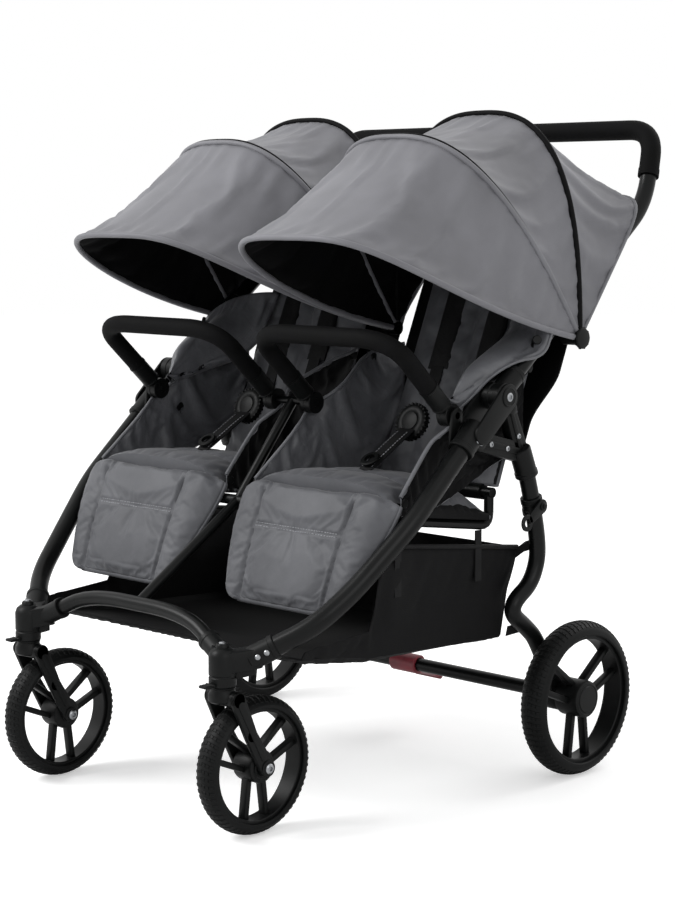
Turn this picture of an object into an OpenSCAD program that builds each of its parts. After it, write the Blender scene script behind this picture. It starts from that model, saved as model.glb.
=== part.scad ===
/* [Overall] */
// Width over the rear hub caps
overall_w = 760; // [740:1:790]
// Length from the front tyres to the back of the handle grip
overall_l = 888; // [870:1:920]
// Height of the middle of the handle bar
handle_h = 1005; // [985:1:1030]

/* [Wheels] */
// Diameter of the rear wheels
rear_wheel_d = 243; // [230:1:250]
// Width of the rear tyres
rear_tyre_w = 45; // [40:1:48]
// Diameter of the front wheels
front_wheel_d = 200; // [190:1:204]
// Width of the front tyres
front_tyre_w = 40; // [34:1:44]
// Distance of a front wheel's swivel axis inside the overall width
front_inset = 160; // [150:1:170]
// Distance of the swivel axis in front of its wheel's axle
caster_trail = 58; // [50:1:64]
// Distance of the rear axle behind the middle
rear_axle_y = 221; // [210:1:235]
// Diameter of the wheel axles
axle_d = 10; // [8:0.5:12]

/* [Frame] */
// Diameter of the side, handle and leg tubes
tube_d = 26; // [24:0.5:27]
// Diameter of the front cross tube and the rear axle tube
cross_d = 22; // [20:0.5:24]
// Diameter of the bars that carry the seats
seat_bar_d = 16; // [14:0.5:18]
// Distance of the side tubes inside the overall width
side_inset = 23; // [20:1:28]
// Distance of the folding hinge behind the middle
fold_y = 22; // [16:1:28]
// Height of the folding hinge
fold_z = 607; // [600:1:615]
// Height of the frame tubes where they enter the front blocks
front_tube_z = 262; // [256:1:268]
// Rise of the front cross tube in its middle
cross_arch = 42; // [30:1:55]
// Wall of the moulded sockets that hold the tubes
socket_wall = 4; // [3:0.5:5]
// Diameter of the handle's foam grip
grip_d = 32; // [30:0.5:36]

/* [Seats] */
// Gap between the two seat pads
seat_gap = 78; // [74:1:90]
// Room between a seat pad and the middle of its side tube
seat_side_room = 32; // [30:1:40]
// Thickness of a seat pad in its middle
seat_t = 35; // [28:1:40]
// Height of the knee edge
knee_z = 474; // [466:1:482]
// Distance of the knee edge in front of the middle
knee_y = 184; // [178:1:190]
// Room on each side of a backrest, on the width of its seat
back_room = 23; // [22:1:33]
// Length of a backrest
back_len = 408; // [380:1:415]
// Thickness of a backrest pad in its middle
back_t = 30; // [24:1:34]
// Angle of the backrest above the floor
back_angle = 67; // [64:1:70]
// Draw of a legrest's hem on each side, on the width of its seat
legrest_draw = 30; // [23:1:43]
// Length of a legrest
legrest_len = 178; // [160:1:190]

/* [Canopy] */
// Distance of a canopy's outer side beyond the side tube
canopy_proud = 22; // [20:1:23]
// Gap between the two canopies
canopy_mid_gap = 10; // [10:1:16]
// Distance of the canopy pivots from the folding hinge, along the handle tube
pivot_along = 179; // [172:1:186]
// Distance of the canopy pivots from the middle of the handle tube
pivot_off = 41; // [36:1:44]
// Reach of the visor bow from the pivots
visor_r = 462; // [440:1:470]
// Reach of the middle bow from the pivots
mid_r = 370; // [360:1:380]
// Reach of the rear bow from the pivots
rear_r = 340; // [330:1:345]
// Thickness of the canopy cloth with its lining
canopy_t = 3; // [2:0.5:4]

/* [Bumper bars] */
// Diameter of a bumper bar's foam
bar_d = 28; // [26:1:30]
// Distance of a bar's ends inside the edges of the seat pad
bar_inset = 3; // [1:1:7]
// Length of a bar's side arms
bar_reach = 168; // [150:1:180]

/* [Basket] */
// Room between the basket and the middle of a side tube
basket_side_room = 63; // [62:1:87]
// Height of the basket's floor above the ground
basket_z = 222; // [216:1:232]
// Thickness of the basket's cloth
basket_t = 3; // [2:0.5:5]

/* [Hidden] */
$fn = 48;
overrun = 1;
// Running clearance of pins, axles and stems, and the seat of a tube in its socket
run_fit = 0.05;
seat_fit = 0.15;
face_gap = 0.4;
tube_sides = 14;
bend_steps = 5;
bend_limit_share = 0.45;
tube_r = tube_d / 2;
cross_r = cross_d / 2;
seat_bar_r = seat_bar_d / 2;
axle_r = axle_d / 2;
grip_r = grip_d / 2;
bar_r = bar_d / 2;
socket_r = tube_r + socket_wall;

// Main places
handle_y = overall_l / 2 - grip_r;
front_axle_y = front_wheel_d / 2 - overall_l / 2;
front_axle_z = front_wheel_d / 2;
caster_x = overall_w / 2 - front_inset;
caster_y = front_axle_y - caster_trail;
rear_axle_z = rear_wheel_d / 2;
rear_wheel_x = overall_w / 2 - rear_tyre_w / 2;
side_x = overall_w / 2 - side_inset;
hinge = [side_x, fold_y, fold_z];
seat_w = side_x - seat_gap / 2 - seat_side_room;
seat_x = seat_gap / 2 + seat_w / 2;

// Front blocks: swivel housing and the two tube sockets
housing_r = 19.5;
housing_z = 223;
housing_h = 54;
stem_r = 8;
stem_depth = 40;
ear_r = 9;
ear_h = 6;
socket_grip = 36;
web_set = 2;
socket_root = [25, 35];
cross_root = [24, 18];
cross_rise_y = 34;
cross_reach = 80;
side_root = [caster_x + socket_root[0], caster_y + socket_root[1], front_tube_z];
side_run = hinge - side_root;
cross_end = [caster_x - cross_root[0], caster_y + cross_root[1], front_tube_z];
cross_mid_share = 0.5;
cross_bend = [cross_mid_share * caster_x, caster_y + cross_rise_y, front_tube_z + cross_arch];

// Side tubes: corners as shares of the run from the block to the folding hinge
side_shares = [[0, 0, 0], [0.54, 0.144, 0.12], [0.75, 0.283, 0.25], [1, 0.517, 0.507]];
side_corners = [for (s = side_shares) side_root + [for (k = [0 : 2]) s[k] * side_run[k]]];
side_reach = 34;
down = unit(side_corners[3] - hinge);
sleeve_from = 62;
sleeve_len = 50;
side_end = hinge + (sleeve_from + overrun) * down;

// Folding hinge: knuckle between two cheeks, lug for the leg pin and lug for the bumper bar pin
knuckle_half = 17;
knuckle_r = 20;
knuckle_seat = 26;
knuckle_len = 52;
cheek_t = 5;
cheek_r = 20;
cheek_end_r = 17;
cheek_len = 74;
pin_r = 5;
leg_pin_y = 3;
leg_pin_z = 541;
lug_r = 14;
lug_t = 8;
lug_root = 76;
bar_lug_t = 5;
bar_lug_r = 12;
bar_lug_root = 100;
bar_pin_r = 6;
bar_pin_y = -47;
bar_pin_z = 582;
cheek_in = knuckle_half + face_gap;
leg_face_x = side_x - cheek_in - cheek_t;

// Handle: straight rise from the hinge, bend, and bar
handle_drop = 116;
handle_set = 48;
handle_corner_in = 20;
handle_reach = 46;
handle_bend = [side_x, handle_y - handle_set, handle_h - handle_drop];
up = unit(handle_bend - hinge);
up_angle = atan2(up[2], up[1]);
handle_corner = [side_x - handle_corner_in, handle_y, handle_h];
grip_down_share = 0.43;
grip_end = handle_corner + grip_down_share * (handle_bend - handle_corner);
handle_plane = [0, -up[2], up[1]];
back_bar_d = 20;
back_bar_at = 388;
back_bar_place = hinge + back_bar_at * up;
post_r = canopy_mid_gap / 2 - 2 * face_gap;
clamp_half = 13;
clip_open = 7;
pivot_hub_r = 11;
pivot_hub_w = 16;
pivot_arm_r = 7;
pivot_y = fold_y + pivot_along * up[1] + pivot_off * up[2];
pivot_z = fold_z + pivot_along * up[2] - pivot_off * up[1];

// Rear legs: corners as shares of the run from the leg joint to the axle
brake_r = 25;
brake_w = 35;
brake_tube_seat = 11;
brake_face_x = rear_wheel_x - rear_tyre_w / 2 - face_gap;
brake_in = brake_face_x - brake_w;
leg_top_in = 27;
leg_foot_in = 16;
leg_top_y = 110;
leg_top_z = 514;
leg_top = [side_x - leg_top_in, leg_top_y, leg_top_z];
leg_foot = [brake_in + leg_foot_in, rear_axle_y, rear_axle_z];
leg_run = leg_foot - leg_top;
leg_shares = [[0, 0], [0.18, 0.107], [0.42, 0.32], [0.47, 0.43], [0.33, 0.525], [-0.02, 0.585],
    [-0.05, 0.635], [0.25, 0.695], [0.5, 0.755]];
leg_corners = [for (s = leg_shares)
    leg_top + [s[1] * leg_run[0], s[0] * leg_run[1], s[1] * leg_run[2]]];
leg_foot_seat = 25;
leg_foot_len = 46;
leg_foot_dir = unit(leg_corners[8] - leg_foot);
leg_end = leg_foot + leg_foot_seat * leg_foot_dir;
leg_reach = 14;
leg_joint_t = 18;
leg_joint_r = 15;
leg_knob_y = 80;
leg_knob_z = 583;
leg_knob_r = 12;
leg_socket_len = 38;
leg_socket_back = 8;

// Latch on the left leg
latch_share = 0.5;
latch_at = latch_share * (leg_corners[1] + leg_corners[2]);
latch_dir = unit(leg_corners[2] - leg_corners[1]);
latch_clamp_half = 14;
latch_pin_r = 3;
latch_pin_len = 12;
latch_t = 4;
latch_eye_y = -36;
latch_eye_z = -22;
latch_eye_r = 10;
latch_hub_r = 8;
latch_hole_r = 5;

// Brake pedal
pedal_half = 28;
pedal_hub_r = 16;
pedal_len = 62;
pedal_t = 7;
pedal_tilt = -28;
pedal_tip_r = 5;

// Front forks and swivel locks
crown_r = 20;
crown_h = 22;
arm_t = 8;
arm_top_r = 12;
arm_foot_r = 13;
arm_top_back = 4;
arm_top_drop = 17;
bolt_r = 8;
bolt_h = 4;
hub_proud = 2;
front_hub_half = front_tyre_w / 2 + hub_proud;
lock_w = 16;
lock_len = 15;
lock_t = 4;
lock_r = 3;
lock_drop = 4;

// Wheels: shares of the wheel's radius
rim_open_share = 0.775;
rim_ring_share = 0.82;
rim_w_share = 0.72;
hub_share = 0.24;
tyre_crown_share = 0.62;
spoke_count = 3;
spoke_w = 9;
spoke_gap = 22;
spoke_splay = 7;
spoke_t = 14;
cap_wall = 4;

// Seat bars
rail_room = 67;
rail_x = side_x - rail_room;
rail_drop = 27;
rail_reach = 20;
rail_r = seat_bar_r - face_gap;
// Middle of the side tube's last bend, which carries the front seat bar
side_path = bent(concat(side_corners, [side_end]), side_reach);
bend_mid = [for (k = [0 : 2]) (side_path[len(side_path) - 4][k] + side_path[len(side_path) - 5][k]) / 2];
front_bar_half = bend_mid[0] - tube_r - face_gap;
front_bar_y = bend_mid[1];
front_bar_z = bend_mid[2];
crease_y = 84;
crease_z = 452;
rail_low_z = front_bar_z - rail_drop - seat_bar_r;
seat_slope = atan2(front_bar_z - rail_low_z, crease_y - front_bar_y);
recline_tube_r = 12;
recline_in = 23;
back_w = seat_w - 2 * back_room;
recline_half = back_w / 2 - recline_in;
recline_arm_r = 5;
recline_arm_len = 150;
recline_arm_half = 45;
recline_reach = 10;

// Pads
pad_gap = 0.5;
knee_roll_r = 9;
pad_seam_t = 9;
pad_cols = 16;
pad_rows = 10;
seat_front_y = knee_roll_r + pad_gap - knee_y;
seat_rear_y = crease_y - recline_tube_r - pad_gap;
seat_rear_share = 0.86;
knee_full_share = 0.25;
seat_draw_share = 0.03;
pad_edge_power = 4;
channel_w = 12;
legrest_t = 20;
legrest_lean = 14;
legrest_side_gap = 2;
legrest_top_w = seat_w - 2 * legrest_side_gap;
legrest_w = seat_w - 2 * legrest_draw;
knee_wire_r = 3;
legrest_wrap = 26;
legrest_body_share = 0.62;
legrest_wrap_power = 1.4;
legrest_wrap_from_share = 0.2;
legrest_wrap_to_share = 0.5;
legrest_full_share = 0.5;
legrest_channel_share = 0.34;
back_channel_xs_share = [-0.5, 0, 0.5];
back_channel_depth = 5;
seat_channel_depth = 4;
seat_channel_shares = [0.33, 0.66];
channel_share = 0.05;
strap_w = 40;
strap_t = 7;
strap_from_share = 0.42;
strap_to_share = 0.86;
strap_x = 46;
buckle_r = 25;
buckle_h = 14;
buckle_y = -30;
crotch_w = 28;
crotch_len = 62;
crotch_t = 3;

// Side cloths beside the seats
wing_t = 3;
wing_cols = 14;
wing_rows = 4;
wing_hole_r = 24;
wing_front_y = -160;
wing_rear_y = 146;
wing_top_shares = [0.18, 0.54, 0.765, 0.92, 1];
wing_top_rise = 260;

// Bumper bars and their sockets
bar_w = seat_w - 2 * bar_inset;
bar_angle = 137;
bar_corner_reach = 70;
bar_cap_r = 15;
bar_cap_from = 20;
bar_cap_len = 42;
bar_peg_r = 8;
bar_peg_len = 50;
socket_disc_r = 17;
socket_disc_w = 20;
bar_dir = [0, cos(bar_angle), sin(bar_angle)];
bar_plane = [0, bar_dir[2], -bar_dir[1]];

// Canopy bows: angle, reach and squareness, from the back edge to the visor
canopy_w = side_x + canopy_proud - canopy_mid_gap / 2;
canopy_x = canopy_mid_gap / 2 + canopy_w / 2;
canopy_hub_r = pivot_hub_r + face_gap;
canopy_cols = 18;
canopy_rows = 4;
canopy_gap = 0.35;
bow_t = 9;
canopy_sag_share = 0.03;
back_edge_turn = 14.5;
back_edge_r = 270;
bow_taper_power = 3;
back_edge_bow = [up_angle + back_edge_turn, back_edge_r, 10];
rear_bow = [92, rear_r, 2.7];
mid_bow = [126, mid_r, 2.75];
visor_bow = [160.5, visor_r, 3.6];

// Basket: side profile as shares of its length and height
basket_w = 2 * (side_x - basket_side_room);
basket_front_set = 80;
basket_front_y = caster_y + basket_front_set;
basket_rear_y = 96;
basket_h = 176;
basket_top_shares = [[1, 0.83], [0.4, 1], [0.34, 0.32], [0.02, 0.26], [0, 0.2]];
basket_low_shares = [[0.34, 0.08], [0.93, 0]];
basket_mouth_front_share = 0.42;
basket_tab_shares = [0.47, 0.9];
basket_tab_w = 36;

black = [0.11, 0.12, 0.12];
soft_black = [0.09, 0.09, 0.09];
cloth_grey = [0.43, 0.43, 0.45];
pad_grey = [0.38, 0.38, 0.40];
silver = [0.7, 0.7, 0.72];
red = [0.45, 0.1, 0.14];

function unit(v) = v / norm(v);
function along(a, b, t) = a + t * (b - a);
function flip_x(p) = [-p[0], p[1], p[2]];

// Path through the corners, each one rounded over the reach before and after it
function bent(p, reach) = [
    p[0],
    for (i = [1 : len(p) - 2])
        let (before = p[i - 1] - p[i], after = p[i + 1] - p[i],
            a = p[i] + min(reach, norm(before) * bend_limit_share) * unit(before),
            c = p[i] + min(reach, norm(after) * bend_limit_share) * unit(after))
        for (s = [0 : bend_steps])
            let (t = s / bend_steps) along(along(a, p[i], t), along(p[i], c, t), t),
    p[len(p) - 1]];

function heading(p, i) = unit(p[min(i + 1, len(p) - 1)] - p[max(i - 1, 0)]);

// Ring of points round the path, square to it and turned to the reference direction
function ring(p, i, r, side) =
    let (t = heading(p, i), u = unit(cross(side, t)), v = cross(t, u), turn = 360 / tube_sides)
    [for (k = [0 : tube_sides - 1]) p[i] + r * (cos(k * turn) * u + sin(k * turn) * v)];

function rings(p, r, side) = [for (i = [0 : len(p) - 1]) each ring(p, i, r, side)];

function skin(m, n, base, out) = [
    for (i = [0 : m - 2], k = [0 : n - 1])
        let (a = base + i * n + k, b = base + i * n + (k + 1) % n, c = b + n, d = a + n)
        each out ? [[a, d, c], [a, c, b]] : [[a, c, d], [a, b, c]]];

// Round bar along a path
module sweep(p, r, side) {
    m = len(p);
    n = tube_sides;
    last = (m - 1) * n;
    polyhedron(rings(p, r, side), concat(skin(m, n, 0, true),
        [for (k = [1 : n - 2]) [0, k, k + 1]],
        [for (k = [1 : n - 2]) [last, last + k + 1, last + k]]));
}

// Round sleeve along a path
module sleeve(p, r, bore, side) {
    m = len(p);
    n = tube_sides;
    inner = m * n;
    last = (m - 1) * n;
    polyhedron(concat(rings(p, r, side), rings(p, bore, side)), concat(
        skin(m, n, 0, true), skin(m, n, inner, false),
        [for (k = [0 : n - 1]) let (j = (k + 1) % n) each [[k, j, inner + j], [k, inner + j, inner + k]]],
        [for (k = [0 : n - 1]) let (j = (k + 1) % n, a = last, b = inner + last)
            each [[a + k, b + j, a + j], [a + k, b + k, b + j]]]));
}

function grid(m, n, f) = [for (i = [0 : m]) [for (j = [0 : n]) f(i / m, j / n)]];

// Closed skin between an outer and an inner grid of points
module slab(outer, inner) {
    m = len(outer);
    n = len(outer[0]);
    q = m * n;
    polyhedron([for (g = [outer, inner]) for (row = g) each row], concat(
        [for (i = [0 : m - 2], j = [0 : n - 2]) let (a = i * n + j)
            each [[a, a + 1, a + n + 1], [a, a + n + 1, a + n]]],
        [for (i = [0 : m - 2], j = [0 : n - 2]) let (a = q + i * n + j)
            each [[a, a + n + 1, a + 1], [a, a + n, a + n + 1]]],
        [for (j = [0 : n - 2]) let (a = j, e = (m - 1) * n + j)
            each [[a + 1, a, q + a], [a + 1, q + a, q + a + 1],
                [e, e + 1, q + e + 1], [e, q + e + 1, q + e]]],
        [for (i = [0 : m - 2]) let (a = i * n, e = i * n + n - 1)
            each [[a, a + n, q + a + n], [a, q + a + n, q + a],
                [e + n, e, q + e], [e + n, q + e, q + e + n]]]));
}

// How full a pad is at a share of its width or length: 0 on the seam, 1 in the middle
function fullness(s) = 1 - pow(abs(2 * s - 1), pad_edge_power);
function dip(x, at, w) = exp(-pow((x - at) / w, 2));

module rod(a, b, r) {
    d = b - a;
    translate(a) rotate([0, acos(d[2] / norm(d)), atan2(d[1], d[0])]) cylinder(h = norm(d), r = r);
}

module rod_x(x0, x1, y, z, r) {
    translate([x0, y, z]) rotate([0, 90, 0]) cylinder(h = x1 - x0, r = r);
}

// Flat link between two discs, both square to the X axis
module link(x0, x1, a, ra, b, rb) {
    hull() {
        rod_x(x0, x1, a[0], a[1], ra, $fn = 32);
        rod_x(x0, x1, b[0], b[1], rb, $fn = 32);
    }
}

module both_sides() {
    children();
    mirror([1, 0, 0]) children();
}

module side_tube() {
    sweep(side_path, tube_r, [1, 0, 0]);
}
module side_tube_left() { color(black) side_tube(); }
module side_tube_right() { color(black) mirror([1, 0, 0]) side_tube(); }

module front_block() {
    side_dir = unit(side_corners[1] - side_corners[0]);
    cross_dir = unit(cross_bend - cross_end);
    top = [caster_x, caster_y, front_tube_z];
    web_r = housing_r - socket_wall;
    difference() {
        union() {
            translate([caster_x, caster_y, housing_z]) cylinder(h = housing_h, r = housing_r);
            translate([caster_x, caster_y, housing_z + housing_h - overrun])
                cylinder(h = ear_h + overrun, r = ear_r);
            rod(top, side_root, web_r);
            rod(side_root - socket_wall * side_dir, side_root + socket_grip * side_dir, socket_r);
            rod(top - [0, 0, web_set], cross_end - [0, 0, web_set], web_r - web_set);
            rod(cross_end - socket_wall * cross_dir, cross_end + socket_grip * cross_dir,
                cross_r + socket_wall);
        }
        rod(side_root, side_root + (socket_grip + overrun) * side_dir, tube_r + seat_fit);
        rod(cross_end, cross_end + (socket_grip + overrun) * cross_dir, cross_r + seat_fit);
        translate([caster_x, caster_y, housing_z - overrun])
            cylinder(h = stem_depth + overrun, r = stem_r + run_fit);
    }
}
module front_block_left() { color(soft_black) front_block(); }
module front_block_right() { color(soft_black) mirror([1, 0, 0]) front_block(); }

module front_cross_tube() {
    color(black) sweep(bent([cross_end, cross_bend, flip_x(cross_bend), flip_x(cross_end)], cross_reach),
        cross_r, [0, 0, 1]);
}

module hinge_housing() {
    leg_pin = [leg_pin_y, leg_pin_z];
    bar_pin = [bar_pin_y, bar_pin_z];
    at = [fold_y, fold_z];
    axis = [down[1], down[2]];
    lug_x = leg_face_x + face_gap;
    sleeve_end = hinge + (sleeve_from + sleeve_len) * down;
    difference() {
        union() {
            rod(hinge + sleeve_from * down, sleeve_end, socket_r + socket_wall / 2);
            for (x = [side_x - cheek_in - cheek_t, side_x + cheek_in])
                link(x, x + cheek_t, at, cheek_r, at + cheek_len * axis, cheek_end_r);
            link(lug_x, lug_x + lug_t, leg_pin, lug_r, at + lug_root * axis, lug_r);
            link(lug_x, lug_x + bar_lug_t, bar_pin, bar_lug_r, at + bar_lug_root * axis, bar_lug_r);
            rod_x(seat_x + bar_w / 2 - socket_disc_w / 2, lug_x + bar_lug_t,
                bar_pin_y, bar_pin_z, bar_pin_r);
        }
        rod(side_end, sleeve_end + overrun * down, tube_r + seat_fit);
        rod_x(side_x / 2, side_x + side_x / 2, fold_y, fold_z, pin_r + run_fit);
        rod_x(side_x / 2, lug_x + lug_t + overrun, leg_pin_y, leg_pin_z, pin_r + run_fit);
    }
}
module hinge_housing_left() { color(soft_black) hinge_housing(); }
module hinge_housing_right() { color(soft_black) mirror([1, 0, 0]) hinge_housing(); }

module fold_pins() {
    color(silver) both_sides() {
        rod_x(side_x - cheek_in - cheek_t, side_x + cheek_in + cheek_t, fold_y, fold_z, pin_r);
        rod_x(leg_face_x - leg_joint_t, leg_face_x + face_gap + lug_t, leg_pin_y, leg_pin_z, pin_r);
    }
}

module seat_frame() {
    front = [0, front_bar_y, front_bar_z];
    color(black) difference() {
        union() {
            rod_x(-front_bar_half, front_bar_half, front_bar_y, front_bar_z, seat_bar_r);
            rod_x(-rail_x - seat_bar_r, rail_x + seat_bar_r, crease_y, crease_z, seat_bar_r);
            both_sides() sweep(bent([[rail_x, front_bar_y, front_bar_z], [rail_x, crease_y, rail_low_z],
                [rail_x, crease_y, crease_z]], rail_reach), rail_r, [1, 0, 0]);
            rod([0, cross_bend[1], cross_bend[2]], front, seat_bar_r);
            rod(front, [0, bar_pin_y, bar_pin_z], rail_r);
            rod_x(-seat_x + bar_w / 2 - socket_disc_w / 2, seat_x - bar_w / 2 + socket_disc_w / 2,
                bar_pin_y, bar_pin_z, bar_pin_r);
        }
        rod_x(-cross_bend[0], cross_bend[0], cross_bend[1], cross_bend[2], cross_r + seat_fit);
    }
}

// Height of the seat rails at a place along the seat
function rail_z(y) = front_bar_z - (y - front_bar_y) * tan(seat_slope);

function seat_half(v) = seat_w / 2 * along(1, seat_rear_share, v) * (1 - seat_draw_share * sin(180 * v));
function seat_y(v) = along(seat_front_y, seat_rear_y, v);
function seat_base(v) = rail_z(seat_y(v)) + seat_bar_r + face_gap + pad_seam_t / 2;
function seat_swell(u, v) = fullness(u) * fullness(along(knee_full_share, 1, v)) * (seat_t - pad_seam_t)
    - seat_channel_depth * fullness(u) * max([for (c = seat_channel_shares) dip(v, c, channel_share)]);

module seat_pad() {
    place = function (u, v) [seat_x + (2 * u - 1) * seat_half(v), seat_y(v), seat_base(v)];
    slab(grid(pad_cols, pad_rows, function (u, v) place(u, v) + [0, 0, pad_seam_t / 2 + seat_swell(u, v)]),
        grid(pad_cols, pad_rows, function (u, v) place(u, v) - [0, 0, pad_seam_t / 2]));
}
module seat_pad_left() { color(pad_grey) seat_pad(); }
module seat_pad_right() { color(pad_grey) mirror([1, 0, 0]) seat_pad(); }

// Upper edge of a side cloth at a share of its length
function wing_top(v) = lookup(v, [for (i = [0 : len(wing_top_shares) - 1])
    [i / (len(wing_top_shares) - 1), wing_top_shares[i]]]) * wing_top_rise;
function wing_y(v) = along(wing_front_y, wing_rear_y, v);
// Middle of the cloth, along the edge of the seat pad
function wing_x(y) = let (v = (y - seat_front_y) / (seat_rear_y - seat_front_y))
    seat_x + seat_half(min(1, max(0, v))) + pad_gap + wing_t / 2;

module side_wing() {
    place = function (u, v, t) let (y = wing_y(1 - v))
        [wing_x(y) + t, y, rail_z(y) + seat_bar_r + face_gap + u * wing_top(1 - v)];
    difference() {
        slab(grid(wing_rows, wing_cols, function (u, v) place(u, v, wing_t / 2)),
            grid(wing_rows, wing_cols, function (u, v) place(u, v, -wing_t / 2)));
        rod_x(seat_x, side_x, bar_pin_y, bar_pin_z, wing_hole_r);
        rod_x(seat_x, side_x, crease_y, crease_z, seat_bar_r + face_gap);
    }
}
module side_wing_left() { color(cloth_grey) side_wing(); }
module side_wing_right() { color(cloth_grey) mirror([1, 0, 0]) side_wing(); }
module centre_wings() {
    color(cloth_grey) both_sides() translate([2 * seat_x, 0, 0]) mirror([1, 0, 0]) side_wing();
}

function basket_point(s) = [along(basket_front_y, basket_rear_y, s[0]), basket_z + s[1] * basket_h];

module basket_body(inset) {
    rotate([90, 0, 90]) linear_extrude(height = basket_w - 2 * inset, center = true) offset(delta = -inset)
        polygon([for (s = concat(basket_top_shares, basket_low_shares)) basket_point(s)]);
}
// Cloth tab from the basket's side up to the seat rail
module basket_tab(share) {
    y = along(basket_front_y, basket_rear_y, share) - basket_tab_w / 2;
    low = basket_z + basket_h / 2;
    translate([basket_w / 2 - basket_t, y, low])
        cube([basket_t, basket_tab_w, rail_z(y + basket_tab_w) - seat_bar_r - face_gap - low]);
}
module basket() {
    mouth = along(basket_front_y, basket_rear_y, basket_mouth_front_share);
    color(soft_black) {
        difference() {
            basket_body(0);
            basket_body(basket_t);
            translate([-basket_w / 2 + basket_t, mouth, basket_z + basket_h / 2])
                cube([basket_w - 2 * basket_t, basket_rear_y - mouth - basket_t, basket_h]);
        }
        both_sides() for (share = basket_tab_shares) basket_tab(share);
    }
}

module buckle() {
    v = (buckle_y - seat_front_y) / (seat_rear_y - seat_front_y);
    translate([seat_x, buckle_y, seat_base(v) + seat_t - pad_seam_t / 2 + face_gap])
        rotate([-seat_slope, 0, 0]) {
            cylinder(h = buckle_h, r = buckle_r);
            translate([-crotch_w / 2, -crotch_len, 0]) cube([crotch_w, crotch_len, crotch_t]);
        }
}
module buckles() { color(soft_black) both_sides() buckle(); }

function handle_path() = bent([hinge + knuckle_seat * up, handle_bend, handle_corner,
    flip_x(handle_corner), flip_x(handle_bend), flip_x(hinge + knuckle_seat * up)], handle_reach);
// Stretch of the handle's path that the grip covers
function grip_path() = let (p = handle_path(), n = bend_steps + 1)
    concat([grip_end], [for (i = [n + 1 : 3 * n]) p[i]], [flip_x(grip_end)]);
module handle_tube() { color(black) sweep(handle_path(), tube_r, handle_plane); }
module handle_grip() { color(soft_black) sleeve(grip_path(), grip_r, tube_r + seat_fit, handle_plane); }

module fold_knuckles() {
    color(soft_black) both_sides() difference() {
        union() {
            rod_x(side_x - knuckle_half, side_x + knuckle_half, fold_y, fold_z, knuckle_r);
            rod(hinge, hinge + knuckle_len * up, socket_r);
        }
        rod(hinge + knuckle_seat * up, hinge + (knuckle_len + overrun) * up, tube_r + seat_fit);
        rod_x(side_x / 2, side_x + side_x / 2, fold_y, fold_z, pin_r + run_fit);
    }
}

module back_bar() {
    p = back_bar_place;
    color(black) difference() {
        rod_x(-side_x, side_x, p[1], p[2], back_bar_d / 2);
        both_sides() rod(p - tube_d * up, p + tube_d * up, tube_r + seat_fit);
    }
}

module canopy_post() {
    p = back_bar_place;
    inner_hub = canopy_x - canopy_w / 2 + canopy_t;
    color(black) difference() {
        union() {
            rod([0, p[1], p[2]], [0, pivot_y, pivot_z], post_r);
            rod_x(-inner_hub, inner_hub, pivot_y, pivot_z, pivot_hub_r);
        }
        rod_x(-side_x, side_x, p[1], p[2], back_bar_d / 2 + seat_fit);
    }
}

module canopy_clamps() {
    on_tube = hinge + pivot_along * up;
    open = 4 * socket_r;
    color(soft_black) both_sides() difference() {
        union() {
            difference() {
                rod(on_tube - clamp_half * up, on_tube + clamp_half * up, socket_r);
                translate(on_tube + [clip_open, -open / 2, -open / 2]) cube([socket_r, open, open]);
            }
            rod(on_tube, [side_x, pivot_y, pivot_z], pivot_arm_r);
            rod_x(side_x - pivot_hub_w / 2, canopy_x + canopy_w / 2, pivot_y, pivot_z, pivot_hub_r);
        }
        rod(on_tube - 2 * clamp_half * up, on_tube + 2 * clamp_half * up, tube_r + seat_fit);
    }
}

module rear_leg() { sweep(bent(concat(leg_corners, [leg_end]), leg_reach), tube_r, [1, 0, 0]); }
module rear_leg_left() { color(black) rear_leg(); }
module rear_leg_right() { color(black) mirror([1, 0, 0]) rear_leg(); }

module leg_joints() {
    dir = unit(leg_corners[1] - leg_top);
    top = [leg_top_y, leg_top_z];
    inner = leg_face_x - leg_joint_t;
    color(soft_black) both_sides() difference() {
        union() {
            link(inner, leg_face_x, [leg_pin_y, leg_pin_z], leg_joint_r, top, leg_joint_r);
            link(inner, leg_face_x, top, leg_joint_r, [leg_knob_y, leg_knob_z], leg_knob_r);
            rod(leg_top - leg_socket_back * dir, leg_top + leg_socket_len * dir, socket_r);
        }
        rod(leg_top, leg_top + (leg_socket_len + overrun) * dir, tube_r + seat_fit);
        rod_x(inner - overrun, leg_face_x + overrun, leg_pin_y, leg_pin_z, pin_r + run_fit);
    }
}

module rear_axle() {
    color(black) {
        rod_x(-brake_in - brake_tube_seat, brake_in + brake_tube_seat, rear_axle_y, rear_axle_z, cross_r);
        rod_x(-rear_wheel_x - rear_tyre_w / 2 + 2 * cap_wall, rear_wheel_x + rear_tyre_w / 2 - 2 * cap_wall,
            rear_axle_y, rear_axle_z, axle_r);
    }
}

module brake_housings() {
    color(soft_black) both_sides() difference() {
        union() {
            rod_x(brake_in, brake_face_x, rear_axle_y, rear_axle_z, brake_r);
            rod(leg_foot, leg_foot + leg_foot_len * leg_foot_dir, socket_r);
        }
        rod(leg_end, leg_foot + (leg_foot_len + overrun) * leg_foot_dir, tube_r + seat_fit);
        rod_x(brake_in - overrun, brake_in + brake_tube_seat + face_gap, rear_axle_y, rear_axle_z,
            cross_r + seat_fit);
        rod_x(brake_in, brake_face_x + overrun, rear_axle_y, rear_axle_z, axle_r + seat_fit);
    }
}

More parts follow.
